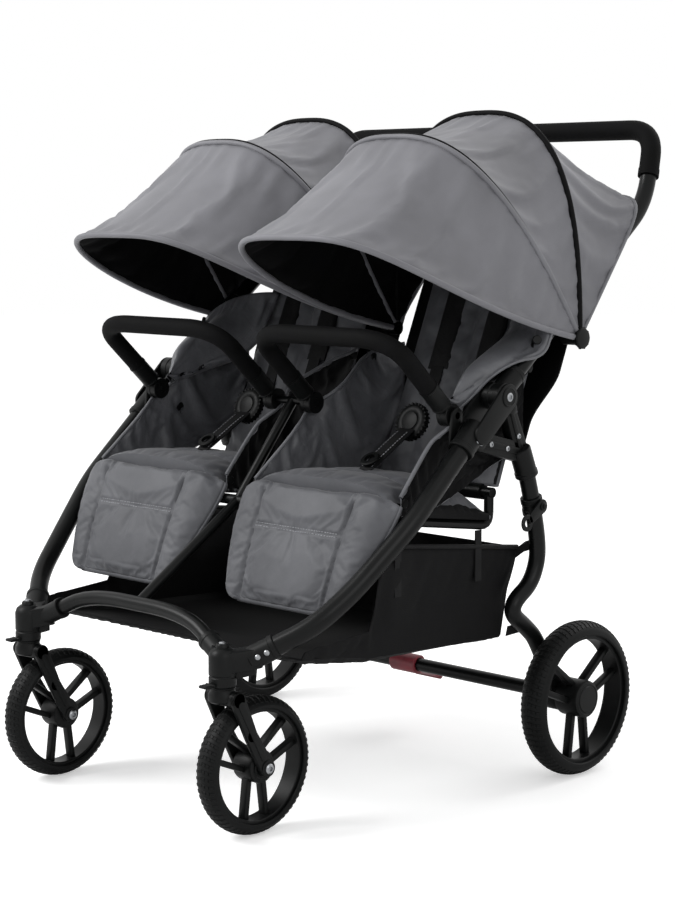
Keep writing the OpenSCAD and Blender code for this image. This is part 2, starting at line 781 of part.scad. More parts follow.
module latch_clamp() {
    color(soft_black) difference() {
        union() {
            rod(latch_at - latch_clamp_half * latch_dir, latch_at + latch_clamp_half * latch_dir, socket_r);
            rod_x(latch_at[0], latch_at[0] + socket_r + latch_pin_len,
                latch_at[1], latch_at[2], latch_pin_r);
        }
        rod(latch_at - 2 * latch_clamp_half * latch_dir, latch_at + 2 * latch_clamp_half * latch_dir,
            tube_r + seat_fit);
    }
}

module latch_hook() {
    x0 = latch_at[0] + socket_r + face_gap;
    pin = [latch_at[1], latch_at[2]];
    eye = pin + [latch_eye_y, latch_eye_z];
    color(soft_black) difference() {
        link(x0, x0 + latch_t, pin, latch_hub_r, eye, latch_eye_r);
        rod_x(x0 - overrun, x0 + latch_t + overrun, pin[0], pin[1], latch_pin_r + run_fit);
        rod_x(x0 - overrun, x0 + latch_t + overrun, eye[0], eye[1], latch_hole_r);
    }
}

module brake_pedal() {
    color(red) translate([0, rear_axle_y, rear_axle_z]) rotate([pedal_tilt, 0, 0]) difference() {
        union() {
            rod_x(-pedal_half, pedal_half, 0, 0, pedal_hub_r);
            translate([-pedal_half, 0, -pedal_t / 2]) cube([2 * pedal_half, pedal_len, pedal_t]);
            rod_x(-pedal_half, pedal_half, pedal_len, 0, pedal_tip_r);
        }
        rod_x(-pedal_half - overrun, pedal_half + overrun, 0, 0, cross_r + run_fit);
    }
}

// Point on a bow that is turned about the pivots
function bow_point(b, phi, inset) =
    let (w = canopy_w / 2 - inset, rho = (b[1] - inset) * pow(sin(phi), 2 / b[2]))
    [canopy_x + w * sign(cos(phi)) * pow(abs(cos(phi)), 2 / b[2]),
        pivot_y + rho * cos(b[0]), pivot_z + rho * sin(b[0])];

// Bow part of the way from one bow to the next, drawn in a little between them
function between(a, b, t) = let (m = along(a, b, t), s = 1 - canopy_sag_share * sin(180 * t))
    [m[0], m[1] * s, m[2]];

// Share of the half turn where a bow leaves its hub
function bow_start(b) = asin(pow(canopy_hub_r / b[1], b[2] / 2));

// Cloth between two bows, thick over the front one and clear of the next panel by the panel gap
module canopy_panel(a, b, a_gap, b_gap) {
    at = function (u, t, inset) let (
            m = between(a, b, t), from = bow_start(m), phi = along(from, 180 - from, u),
            rho = m[1] * pow(sin(phi), 2 / m[2]),
            turn = (along(a_gap, -b_gap, t)) / rho * 180 / PI)
        bow_point(m + [turn, 0, 0], phi, inset);
    slab(grid(canopy_cols, canopy_rows, function (u, t) at(u, t, 0)),
        grid(canopy_cols, canopy_rows, function (u, t)
            at(u, t, t == 1 ? along(canopy_t, bow_t, pow(fullness(u), bow_taper_power)) : canopy_t)));
}
module canopy_back() { canopy_panel(back_edge_bow, rear_bow, 0, canopy_gap); }
module canopy_mid() { canopy_panel(rear_bow, mid_bow, canopy_gap, canopy_gap); }
module canopy_visor() { canopy_panel(mid_bow, visor_bow, canopy_gap, 0); }
module canopy_back_left() { color(cloth_grey) canopy_back(); }
module canopy_mid_left() { color(cloth_grey) canopy_mid(); }
module canopy_visor_left() { color(cloth_grey) canopy_visor(); }
module canopy_back_right() { color(cloth_grey) mirror([1, 0, 0]) canopy_back(); }
module canopy_mid_right() { color(cloth_grey) mirror([1, 0, 0]) canopy_mid(); }
module canopy_visor_right() { color(cloth_grey) mirror([1, 0, 0]) canopy_visor(); }

// Place on a backrest: across, along from the crease and out towards the seat
function back_place(x, s, n) = [seat_x + x,
    crease_y + s * cos(back_angle) - n * sin(back_angle),
    crease_z + s * sin(back_angle) + n * cos(back_angle)];
function back_s(v) = recline_tube_r + pad_gap + v * back_len;
function back_swell(u, v) = (back_t / 2 - pad_seam_t / 2) * fullness(u) * fullness(v);
function back_dip(u, v) = back_channel_depth * fullness(v)
    * max([for (c = back_channel_xs_share) dip((2 * u - 1) * back_w / 2, c * back_w / 2, channel_w)]);

module backrest() {
    half = function (v) back_w / 2 * (1 - seat_draw_share * sin(180 * v));
    full = function (u, v) pad_seam_t / 2 + back_swell(u, v);
    place = function (u, v, n) back_place((2 * u - 1) * half(v), back_s(v), n);
    slab(grid(pad_cols, pad_rows, function (u, v) place(u, v, full(u, v) - back_dip(u, v))),
        grid(pad_cols, pad_rows, function (u, v) place(u, v, -full(u, v))));
}
module backrest_left() { color(pad_grey) backrest(); }
module backrest_right() { color(pad_grey) mirror([1, 0, 0]) backrest(); }

module shoulder_straps() {
    low = back_t / 2 + face_gap;
    for (s = [-1, 1]) {
        place = function (u, v, n) back_place(s * strap_x + (2 * u - 1) * strap_w / 2,
            back_s(along(strap_from_share, strap_to_share, v)), n);
        slab(grid(1, pad_rows, function (u, v) place(u, v, low + strap_t)),
            grid(1, pad_rows, function (u, v) place(u, v, low)));
    }
}
module shoulder_straps_left() { color(soft_black) shoulder_straps(); }
module shoulder_straps_right() { color(soft_black) mirror([1, 0, 0]) shoulder_straps(); }

module recline_frame() {
    set = -back_t / 2 - recline_arm_r - pad_gap;
    h = recline_arm_half;
    path = [back_place(-h, 0, 0), back_place(-h, 0, set), back_place(-h, recline_arm_len, set),
        back_place(h, recline_arm_len, set), back_place(h, 0, set), back_place(h, 0, 0)];
    difference() {
        union() {
            rod_x(seat_x - recline_half, seat_x + recline_half, crease_y, crease_z, recline_tube_r);
            sweep(bent(path, recline_reach), recline_arm_r, [1, 0, 1]);
        }
        rod_x(0, side_x, crease_y, crease_z, seat_bar_r + run_fit);
    }
}
module recline_frame_left() { color(black) recline_frame(); }
module recline_frame_right() { color(black) mirror([1, 0, 0]) recline_frame(); }

// Place on a legrest: across, down from the knee and out to the front
function leg_place(x, s, n) = [seat_x + x,
    -knee_y - s * sin(legrest_lean) - n * cos(legrest_lean),
    knee_z - knee_roll_r - s * cos(legrest_lean) + n * sin(legrest_lean)];

module legrest() {
    half = function (v) along(legrest_top_w, legrest_w, v) / 2;
    body = legrest_t / 2 - pad_seam_t / 2;
    flap = function (u) max(0, (abs(2 * u - 1) - legrest_body_share) / (1 - legrest_body_share));
    lower = function (v) min(1, max(0, (v - legrest_wrap_from_share)
        / (legrest_wrap_to_share - legrest_wrap_from_share)));
    wrap = function (u, v) legrest_wrap * lower(v) * pow(flap(u), legrest_wrap_power);
    swell = function (u, v) body * fullness(u) * fullness(along(legrest_full_share, 1, v))
        - seat_channel_depth * dip(v, legrest_channel_share, channel_share);
    roll = function (v) pad_seam_t / 2 + (v == 0 ? knee_roll_r / cos(legrest_lean) - pad_seam_t / 2 : 0);
    place = function (u, v, n) leg_place((1 - 2 * u) * half(v), v * legrest_len, n - wrap(u, v));
    slab(grid(pad_cols, pad_rows, function (u, v) place(u, v, roll(v) + swell(u, v))),
        grid(pad_cols, pad_rows, function (u, v) place(u, v, -roll(v))));
    rod_x(seat_x - legrest_top_w / 2 - knee_wire_r / 2, seat_x + legrest_top_w / 2 + knee_wire_r / 2,
        -knee_y, knee_z - knee_roll_r, knee_wire_r);
}
module legrest_left() { color(pad_grey) legrest(); }
module legrest_right() { color(pad_grey) mirror([1, 0, 0]) legrest(); }

module bumper_bar() {
    foot = function (s, d) [seat_x + s * bar_w / 2, bar_pin_y, bar_pin_z] + d * bar_dir;
    cap_end = bar_cap_from + bar_cap_len;
    path = [foot(1, cap_end), foot(1, bar_reach), foot(-1, bar_reach), foot(-1, cap_end)];
    sweep(bent(path, bar_corner_reach), bar_r, bar_plane);
    for (s = [-1, 1])
        difference() {
            rod(foot(s, bar_cap_from), foot(s, cap_end), bar_cap_r);
            rod(foot(s, bar_cap_from - overrun), foot(s, bar_peg_len + face_gap), bar_peg_r + run_fit);
        }
}
module bumper_bar_left() { color(soft_black) bumper_bar(); }
module bumper_bar_right() { color(soft_black) mirror([1, 0, 0]) bumper_bar(); }

module bar_sockets() {
    for (s = [-1, 1]) {
        x = seat_x + s * bar_w / 2;
        difference() {
            union() {
                rod_x(x - socket_disc_w / 2, x + socket_disc_w / 2, bar_pin_y, bar_pin_z, socket_disc_r);
                rod([x, bar_pin_y, bar_pin_z], [x, bar_pin_y, bar_pin_z] + bar_peg_len * bar_dir,
                    bar_peg_r);
            }
            rod_x(x - socket_disc_w, x + socket_disc_w, bar_pin_y, bar_pin_z, bar_pin_r + run_fit);
        }
    }
}
module bar_sockets_left() { color(soft_black) bar_sockets(); }
module bar_sockets_right() { color(soft_black) mirror([1, 0, 0]) bar_sockets(); }

module fork() {
    top = [caster_y + arm_top_back, housing_z - arm_top_drop];
    foot = [front_axle_y, front_axle_z];
    inner = front_hub_half + face_gap;
    translate([caster_x, 0, 0]) {
        translate([0, caster_y, housing_z - face_gap - crown_h]) cylinder(h = crown_h, r = crown_r);
        translate([0, caster_y, housing_z - crown_h])
            cylinder(h = crown_h + stem_depth - 2 * overrun, r = stem_r);
        rod_x(-inner - arm_t, inner + arm_t, top[0], top[1], arm_top_r);
        for (x = [-inner - arm_t, inner]) link(x, x + arm_t, top, arm_top_r, foot, arm_foot_r);
        rod_x(-inner - overrun, inner + overrun, foot[0], foot[1], axle_r);
        rod_x(-inner - arm_t - bolt_h, -inner - overrun, foot[0], foot[1], bolt_r);
        rod_x(inner + overrun, inner + arm_t + bolt_h, foot[0], foot[1], bolt_r);
    }
}
module fork_left() { color(soft_black) fork(); }
module fork_right() { color(soft_black) mirror([1, 0, 0]) fork(); }

module swivel_lock() {
    y = caster_y - housing_r - lock_r - face_gap;
    z = housing_z + lock_drop;
    rod_x(caster_x - lock_w / 2, caster_x + lock_w / 2, y, z, lock_r);
    translate([caster_x - lock_w / 2, y - lock_len, z - lock_t / 2]) cube([lock_w, lock_len, lock_t]);
}
module swivel_lock_left() { color(soft_black) swivel_lock(); }
module swivel_lock_right() { color(soft_black) mirror([1, 0, 0]) swivel_lock(); }

// Wheel centre with its ring, hub and pairs of spokes, lying on its side
module rim(wheel_d, tyre_w, hub_half, bore_to) {
    r = wheel_d / 2;
    w = rim_w_share * tyre_w;
    difference() {
        union() {
            difference() {
                cylinder(h = w, r = rim_ring_share * r, center = true);
                cylinder(h = w + 2 * overrun, r = rim_open_share * r, center = true);
            }
            for (k = [0 : spoke_count - 1], s = [-1, 1])
                rotate(360 * k / spoke_count) translate([0, s * spoke_gap / 2, 0]) rotate(s * spoke_splay)
                    translate([0, -spoke_w / 2, -spoke_t / 2])
                        cube([rim_open_share * r, spoke_w, spoke_t]);
            cylinder(h = 2 * hub_half, r = hub_share * r, center = true);
        }
        translate([0, 0, -hub_half - overrun])
            cylinder(h = hub_half + overrun + bore_to, r = axle_r + run_fit);
    }
}
module tyre(wheel_d, tyre_w) {
    r = wheel_d / 2;
    crown = tyre_crown_share * tyre_w;
    rotate_extrude($fn = 96) intersection() {
        translate([rim_ring_share * r + seat_fit, -tyre_w / 2]) square([r, tyre_w]);
        translate([r - crown, 0]) circle(r = crown);
    }
}
module at_front_wheel() {
    translate([caster_x, front_axle_y, front_axle_z]) rotate([0, 90, 0]) children();
}
module at_rear_wheel() {
    translate([rear_wheel_x, rear_axle_y, rear_axle_z]) rotate([0, 90, 0]) children();
}
module front_tyre() { at_front_wheel() tyre(front_wheel_d, front_tyre_w); }
module rear_tyre() { at_rear_wheel() tyre(rear_wheel_d, rear_tyre_w); }
module front_rim() {
    at_front_wheel() rim(front_wheel_d, front_tyre_w, front_hub_half, front_hub_half + overrun);
}
module front_rim_left() { color(soft_black) front_rim(); }
module front_rim_right() { color(soft_black) mirror([1, 0, 0]) front_rim(); }
module front_tyre_left() { color(soft_black) front_tyre(); }
module front_tyre_right() { color(soft_black) mirror([1, 0, 0]) front_tyre(); }
module rear_rim() {
    at_rear_wheel() rim(rear_wheel_d, rear_tyre_w, rear_tyre_w / 2, rear_tyre_w / 2 - cap_wall);
}
module rear_rim_left() { color(soft_black) rear_rim(); }
module rear_rim_right() { color(soft_black) mirror([1, 0, 0]) rear_rim(); }
module rear_tyre_left() { color(soft_black) rear_tyre(); }
module rear_tyre_right() { color(soft_black) mirror([1, 0, 0]) rear_tyre(); }

side_tube_left();
side_tube_right();
front_block_left();
front_block_right();
front_cross_tube();
hinge_housing_left();
hinge_housing_right();
fold_pins();
seat_frame();
seat_pad_left();
seat_pad_right();
side_wing_left();
side_wing_right();
centre_wings();
basket();
buckles();
handle_tube();
handle_grip();
fold_knuckles();
back_bar();
canopy_post();
canopy_clamps();
rear_leg_left();
rear_leg_right();
leg_joints();
rear_axle();
brake_housings();
latch_clamp();
latch_hook();
brake_pedal();
canopy_back_left();
canopy_mid_left();
canopy_visor_left();
canopy_back_right();
canopy_mid_right();
canopy_visor_right();
backrest_left();
backrest_right();
shoulder_straps_left();
shoulder_straps_right();
recline_frame_left();
recline_frame_right();
legrest_left();
legrest_right();
bumper_bar_left();
bumper_bar_right();
bar_sockets_left();
bar_sockets_right();
fork_left();
fork_right();
swivel_lock_left();
swivel_lock_right();
front_rim_left();
front_rim_right();
front_tyre_left();
front_tyre_right();
rear_rim_left();
rear_rim_right();
rear_tyre_left();
rear_tyre_right();
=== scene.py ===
import math

import bmesh
import bpy
from mathutils import Matrix, Vector
from mathutils.bvhtree import BVHTree


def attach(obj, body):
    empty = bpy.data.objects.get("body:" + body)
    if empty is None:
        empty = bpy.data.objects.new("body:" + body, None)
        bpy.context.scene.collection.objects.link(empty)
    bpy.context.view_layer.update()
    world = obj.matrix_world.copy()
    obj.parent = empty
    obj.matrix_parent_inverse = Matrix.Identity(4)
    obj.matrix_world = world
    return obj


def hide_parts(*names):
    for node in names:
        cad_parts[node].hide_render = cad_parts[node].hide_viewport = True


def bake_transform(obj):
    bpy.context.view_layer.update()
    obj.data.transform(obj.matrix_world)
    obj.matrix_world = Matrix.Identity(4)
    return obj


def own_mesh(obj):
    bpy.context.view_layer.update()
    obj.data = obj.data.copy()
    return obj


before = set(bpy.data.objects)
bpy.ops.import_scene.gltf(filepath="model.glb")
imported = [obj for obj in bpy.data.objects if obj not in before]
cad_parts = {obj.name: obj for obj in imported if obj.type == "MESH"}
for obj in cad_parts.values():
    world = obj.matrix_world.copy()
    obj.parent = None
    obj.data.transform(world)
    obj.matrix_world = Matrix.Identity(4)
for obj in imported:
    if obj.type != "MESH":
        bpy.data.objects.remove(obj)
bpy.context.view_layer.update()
scene = bpy.context.scene
scene.view_settings.view_transform = "Standard"
mm = 0.001  # shapes are drawn in millimetres and brought to metres as each piece is made
xAxis, zAxis = Vector((1, 0, 0)), Vector((0, 0, 1))
# joints that several pieces meet at, as (y, z)
joints = {"hinge": (22, 607), "legPin": (3, 541), "legTop": (110, 514), "knob": (80, 583), "barPin": (-47, 582),
          "frontAxle": (-344, 100), "rearAxle": (221, 121.5)}
print("frame loaded:", len(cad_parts), "nodes")


# colours and nodes


def hexColor(code):
    parts = [int(code[i : i + 2], 16) / 255 for i in (1, 3, 5)]
    linear = [c / 12.92 if c <= 0.04045 else ((c + 0.055) / 1.055) ** 2.4 for c in parts]
    return (*linear, 1.0)


def setInputs(tree, node, inputs):
    for key, value in inputs.items():
        if isinstance(value, bpy.types.NodeSocket):
            tree.links.new(value, node.inputs[key])
        else:
            node.inputs[key].default_value = value


def addNode(tree, kind, inputs=None, **settings):
    node = tree.nodes.new("ShaderNode" + kind)
    for key, value in settings.items():
        setattr(node, key, value)
    setInputs(tree, node, inputs or {})
    return node


def startMaterial(name):
    material = bpy.data.materials.new(name)
    material.use_nodes = True
    tree = material.node_tree
    return material, tree, tree.nodes["Principled BSDF"]


def tones(tree, pattern, dark, light, high):
    ramp = addNode(tree, "ValToRGB", {"Fac": pattern})
    for stop, place, code in zip(ramp.color_ramp.elements, (0.35, high), (dark, light)):
        stop.position = place
        stop.color = hexColor(code)
    return ramp.outputs["Color"]


def hardMaterial(name, dark, light, rough, grain, cloud, bump, depth, shine=0.5, metal=0.0, ior=None):
    material, tree, shader = startMaterial(name)
    place = addNode(tree, "TexCoord").outputs["Object"]
    grains, clouds = (
        addNode(tree, "TexNoise", {"Vector": place, "Scale": 1 / (size * mm), "Detail": detail}).outputs["Fac"]
        for size, detail in ((grain, 2.0), (cloud, 3.0)))
    patches = addNode(tree, "MapRange", {"Value": clouds, "From Min": 0.3, "From Max": 0.7,
                                         "To Min": rough - 0.04, "To Max": rough + 0.05})
    relief = addNode(tree, "Bump", {"Height": grains, "Strength": bump, "Distance": depth * mm})
    setInputs(tree, shader, {"Base Color": tones(tree, clouds, dark, light, 0.65), "Metallic": metal,
                             "Roughness": patches.outputs["Result"], "Normal": relief.outputs["Normal"],
                             "Specular IOR Level": shine})
    if ior:
        shader.inputs["IOR"].default_value = ior
    return material


def clothMaterial(name, dark, light, thread, cloud, crease, rough, weave, fold, sheen, shine):
    material, tree, shader = startMaterial(name)
    coords = addNode(tree, "TexCoord").outputs
    bands = 0.314 / (thread * mm)
    warp, weft = (addNode(tree, "TexWave", {"Vector": coords["UV"], "Scale": bands}, bands_direction=way).outputs["Fac"]
                  for way in "XY")
    woven = addNode(tree, "Math", {0: warp, 1: weft}, operation="MULTIPLY").outputs["Value"]
    clouds = addNode(tree, "TexNoise", {"Vector": coords["Object"], "Scale": 1 / (cloud * mm), "Detail": 4.0,
                                        "Roughness": 0.6})
    creases = addNode(tree, "TexNoise", {"Vector": coords["Object"], "Scale": 1 / (crease * mm), "Detail": 3.0,
                                         "Distortion": 0.8})
    tone = addNode(tree, "Math", {0: woven, 1: 0.18, 2: clouds.outputs["Fac"]}, operation="MULTIPLY_ADD")
    fine = addNode(tree, "Bump", {"Height": woven, "Strength": weave, "Distance": 0.3 * mm})
    broad = addNode(tree, "Bump", {"Height": creases.outputs["Fac"], "Strength": fold, "Distance": 3.0 * mm,
                                   "Normal": fine.outputs["Normal"]})
    setInputs(tree, shader, {"Base Color": tones(tree, tone.outputs["Value"], dark, light, 0.8),
                             "Normal": broad.outputs["Normal"], "Roughness": rough, "Sheen Weight": sheen,
                             "Sheen Roughness": 0.4, "Specular IOR Level": shine})
    return material


# powder-coated aluminium tube: satin black with a faint orange peel
satinPaint = hardMaterial("powderCoatedTube", "#060707", "#0b0c0c", rough=0.3, grain=1.4, cloud=60, bump=0.06,
                          depth=0.2, shine=0.17)
# glass-filled nylon, moulded in a spark-eroded tool: black with a fine matte grain
mouldedNylon = hardMaterial("mouldedNylon", "#070808", "#0c0d0d", rough=0.42, grain=1.0, cloud=40, bump=0.12,
                            depth=0.25, shine=0.16)
# nitrile foam sleeve: very matte black with open pores
foamSkin = hardMaterial("foamSleeve", "#080808", "#0d0d0e", rough=0.75, grain=1.3, cloud=25, bump=0.35,
                        depth=0.35, shine=0.08)
# foamed tyre: matte black
tyreFoam = hardMaterial("foamedTyre", "#070808", "#0c0d0d", rough=0.5, grain=1.8, cloud=30, bump=0.15,
                        depth=0.3, shine=0.14)
# moulded nylon dyed burgundy
redNylon = hardMaterial("burgundyNylon", "#6a1a26", "#80222f", rough=0.45, grain=1.0, cloud=20, bump=0.12,
                        depth=0.25, ior=1.53)
# zinc-plated steel screws and pins, turned
zincSteel = hardMaterial("zincSteel", "#8d8f92", "#a9abad", rough=0.34, grain=0.8, cloud=8, bump=0.1,
                         depth=0.1, metal=1.0)
# coated polyester twill of the canopy: smooth, a little sheen; threads are drawn 2 mm so that they show
canopyTwill = clothMaterial("canopyTwill", "#66666a", "#78787d", thread=2.0, cloud=160, crease=55, rough=0.58,
                            weave=0.10, fold=0.10, sheen=0.12, shine=0.4)
# quilted woven polyester of the seats: the same yarn, softer and more creased
padCloth = clothMaterial("padCloth", "#434448", "#57585c", thread=1.8, cloud=90, crease=34, rough=0.6,
                         weave=0.12, fold=0.22, sheen=0.15, shine=0.4)
# thin shiny side cloth beside the seats, crumpled
wingCloth = clothMaterial("wingCloth", "#4c4d51", "#66676b", thread=1.8, cloud=60, crease=22, rough=0.45,
                          weave=0.1, fold=0.45, sheen=0.1, shine=0.5)
# black polyester lining inside the canopies
liningCloth = clothMaterial("blackLining", "#060607", "#0b0b0c", thread=1.8, cloud=80, crease=40, rough=0.7,
                            weave=0.1, fold=0.25, sheen=0.0, shine=0.1)
# black oxford cloth of the basket: coarse threads, drawn 2.6 mm
basketCloth = clothMaterial("basketOxford", "#070708", "#0d0d0e", thread=2.6, cloud=90, crease=60, rough=0.72,
                            weave=0.3, fold=0.25, sheen=0.0, shine=0.14)
# woven nylon webbing of the straps, with ribs along it
webbing = clothMaterial("blackWebbing", "#0d0d0e", "#161617", thread=2.4, cloud=20, crease=12, rough=0.7,
                        weave=0.45, fold=0.15, sheen=0.0, shine=0.2)
# padded black cloth of the straps
blackPad = clothMaterial("blackPadding", "#0a0a0b", "#121213", thread=1.8, cloud=30, crease=16, rough=0.7,
                         weave=0.25, fold=0.3, sheen=0.0, shine=0.2)
# polyester sewing thread
threadGrey = hardMaterial("sewingThread", "#84858a", "#97989c", rough=0.75, grain=0.6, cloud=6, bump=0.2,
                          depth=0.15, ior=1.5)

# finishes: a material and its slot
paint, nylon, steel = (satinPaint, "black_tube"), (mouldedNylon, "black_nylon"), (zincSteel, "pin_steel")
foam, twill, padFace = (foamSkin, "black_foam"), (canopyTwill, "canopy_cloth"), (padCloth, "pad_cloth")
blackTrim, blackWeb, strapPad = ((cloth, "black_cloth") for cloth in (liningCloth, webbing, blackPad))
print("materials ready")


# mesh helpers: bmesh parts in millimetres


def absorb(bm, *parts):
    for part in parts:
        carrier = bpy.data.meshes.new("carrier")
        part.to_mesh(carrier)
        part.free()
        bm.from_mesh(carrier)
        bpy.data.meshes.remove(carrier)
    return bm


def joined(*parts):
    return absorb(bmesh.new(), *parts)


def reflect(bm):
    bmesh.ops.scale(bm, vec=(-1, 1, 1), verts=bm.verts)
    bmesh.ops.reverse_faces(bm, faces=bm.faces)
    return bm


def roundPath(corners, reach, steps=9):
    points = [Vector(c) for c in corners]
    out = [points[0]]
    for before, here, after in zip(points, points[1:], points[2:]):
        near = here + (before - here).normalized() * min(reach, (before - here).length * 0.45)
        far = here + (after - here).normalized() * min(reach, (after - here).length * 0.45)
        for i in range(steps + 1):
            t = i / steps
            out.append(near.lerp(here, t).lerp(here.lerp(far, t), t))
    out.append(points[-1])
    return out


def tube(path, radius, resolution):
    curve = bpy.data.curves.new("tubeLine", "CURVE")
    curve.dimensions = "3D"
    curve.bevel_depth = radius
    curve.bevel_resolution = resolution
    curve.use_fill_caps = True
    line = curve.splines.new("POLY")
    line.points.add(len(path) - 1)
    for point, place in zip(line.points, path):
        point.co = (*place, 1)
    carrier = bpy.data.objects.new("tubeLine", curve)
    part = bmesh.new()
    part.from_mesh(carrier.to_mesh())
    carrier.to_mesh_clear()
    bpy.data.objects.remove(carrier)
    bpy.data.curves.remove(curve)
    bmesh.ops.remove_doubles(part, verts=part.verts, dist=1e-3)
    bmesh.ops.recalc_face_normals(part, faces=part.faces)
    return part


def lathe(profile, axis, centre, steps=40):
    # profile: radius and height along the axis
    part = bmesh.new()
    axis, centre = Vector(axis).normalized(), Vector(centre)
    side = axis.orthogonal().normalized()
    verts = [part.verts.new(centre + side * r + axis * h) for r, h in profile]
    edges = [part.edges.new(pair) for pair in zip(verts, verts[1:])]
    bmesh.ops.spin(part, geom=verts + edges, cent=centre, axis=axis, angle=math.tau, steps=steps, use_merge=True)
    bmesh.ops.remove_doubles(part, verts=part.verts, dist=1e-3)
    bmesh.ops.recalc_face_normals(part, faces=part.faces)
    return part


def bothWays(profile, closed=False):
    # a profile whose second half mirrors its first
    whole = profile + [(r, -h) for r, h in reversed(profile)]
    return whole + whole[:1] if closed else whole


def soften(part, edges, rounding):
    if rounding:
        bmesh.ops.bevel(part, geom=edges, offset=rounding, segments=2, profile=0.5, affect="EDGES",
                        material=-1, clamp_overlap=True)
    return part


def hull(discs, axis, rounding):
    # discs: centre, radius, start and end along the axis
    part = bmesh.new()
    turn = zAxis.rotation_difference(axis).to_matrix().to_4x4()
    for centre, radius, start, end in discs:
        for along in (start, end):
            place = Matrix.Translation(Vector(centre) + axis * along) @ turn
            bmesh.ops.create_circle(part, segments=28, radius=radius, matrix=place)
    made = bmesh.ops.convex_hull(part, input=part.verts)
    spare = {e for key in ("geom_interior", "geom_unused") for e in made[key] if isinstance(e, bmesh.types.BMVert)}
    bmesh.ops.delete(part, geom=list(spare), context="VERTS")
    bmesh.ops.dissolve_limit(part, angle_limit=math.radians(2), verts=part.verts, edges=part.edges)
    bmesh.ops.recalc_face_normals(part, faces=part.faces)
    sharp = [e for e in part.edges if len(e.link_faces) == 2 and e.calc_face_angle() > math.radians(50)]
    return soften(part, sharp, rounding)


def plate(near, far, rounding, *discs):
    # moulding between two x places, round about each (y, z) with its radius
    return hull([((0, *spot), radius, near, far) for spot, radius in discs], xAxis, rounding)


def block(size, place, rounding):
    part = bmesh.new()
    bmesh.ops.create_cube(part, size=1, matrix=place @ Matrix.Diagonal((*size, 1)))
    return soften(part, part.edges[:], rounding)


def rod(start, end, radius, rounding=1.0, steps=36):
    start, end = Vector(start), Vector(end)
    length, slope = (end - start).length, rounding * 0.3
    profile = [(0, 0), (radius - rounding, 0), (radius - slope, slope), (radius, rounding),
               (radius, length - rounding), (radius - slope, length - slope), (radius - rounding, length), (0, length)]
    return lathe(profile, end - start, start, steps)


def settle(piece):
    graph = bpy.context.evaluated_depsgraph_get()
    final = bpy.data.meshes.new_from_object(piece.evaluated_get(graph), preserve_all_data_layers=True, depsgraph=graph)
    piece.modifiers.clear()
    old, piece.data = piece.data, final
    bpy.data.meshes.remove(old)
    final.name = piece.name


def link(name, mesh, materials):
    for material in materials:
        mesh.materials.append(material)
    piece = bpy.data.objects.new(name, mesh)
    scene.collection.objects.link(piece)
    return piece


def newObject(name, bm, materials, sharp=38):
    bmesh.ops.scale(bm, vec=(mm, mm, mm), verts=bm.verts)
    mesh = bpy.data.meshes.new(name)
    bm.to_mesh(mesh)
    bm.free()
    for face in mesh.polygons:
        face.use_smooth = True
    mesh.set_sharp_from_angle(angle=math.radians(sharp))
    return link(name, mesh, materials)


def bothSides(piece):
    # a left piece and its mirrored twin
    bm = bmesh.new()
    bm.from_mesh(piece.data)
    name = piece.name.replace("_left", "_right")
    mesh = bpy.data.meshes.new(name)
    reflect(bm).to_mesh(mesh)
    bm.free()
    return ("left", piece), ("right", link(name, mesh, piece.data.materials))


def makePiece(name, bm, body, finish, *replaced, sharp=38):
    material, slot = finish
    piece = newObject(name, bm, [material], sharp)
    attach(piece, body)
    if replaced:
        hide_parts(*replaced)
    return piece


def makePair(name, bm, body, finish, *replaced, sharp=38):
    made = []
    for side, part in (("left", bm), ("right", reflect(bm.copy()))):
        nodes = [n.format(side=side) for n in replaced]
        made.append(makePiece(f"{name}_{side}", part, body.format(side=side), finish, *nodes, sharp=sharp))
    return made


def makeBoth(name, bm, body, finish, *replaced):
    # one piece for the two sides
    return makePiece(name, absorb(bm, reflect(bm.copy())), body, finish, *replaced)


def foldFlat(piece, height, keep):
    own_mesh(piece)


# camera at the photograph's place

shot = {"place": (2257.6, -2268.9, 880.7), "azimuth": 44.2, "pitch": 6.785, "lens": 81.32, "sensor": 36}
cameraData = bpy.data.cameras.new("camera")
cameraData.lens = shot["lens"]
cameraData.sensor_width = shot["sensor"]
cameraData.clip_end = 60
camera = bpy.data.objects.new("camera", cameraData)
scene.collection.objects.link(camera)
azimuth, pitch = math.radians(shot["azimuth"]), math.radians(shot["pitch"])
back = Vector((math.sin(azimuth) * math.cos(pitch), -math.cos(azimuth) * math.cos(pitch), math.sin(pitch)))
camera.location = Vector(shot["place"]) * mm
camera.rotation_mode = "QUATERNION"
camera.rotation_quaternion = (-back).to_track_quat("-Z", "Y")
scene.camera = camera

# studio: white floor and backdrop, big soft lamps

studio = {"world": 0.62, "floorGlow": 0.42, "floor": "#f4f4f4", "floorRadius": 14000, "white": (1, 1, 1, 1),
          "aim": (0, 0, 0.5)}
world = bpy.data.worlds.new("studio")
scene.world = world
world.use_nodes = True
tree = world.node_tree
rays = addNode(tree, "LightPath").outputs
seen = rays["Is Camera Ray"]
for kind in ("Is Glossy Ray", "Is Transmission Ray"):
    seen = addNode(tree, "Math", {0: seen, 1: rays[kind]}, operation="MAXIMUM").outputs["Value"]
level = addNode(tree, "MapRange", {"Value": seen, "To Min": studio["world"], "To Max": 1.0})
setInputs(tree, tree.nodes["Background"], {"Color": studio["white"], "Strength": level.outputs["Result"]})

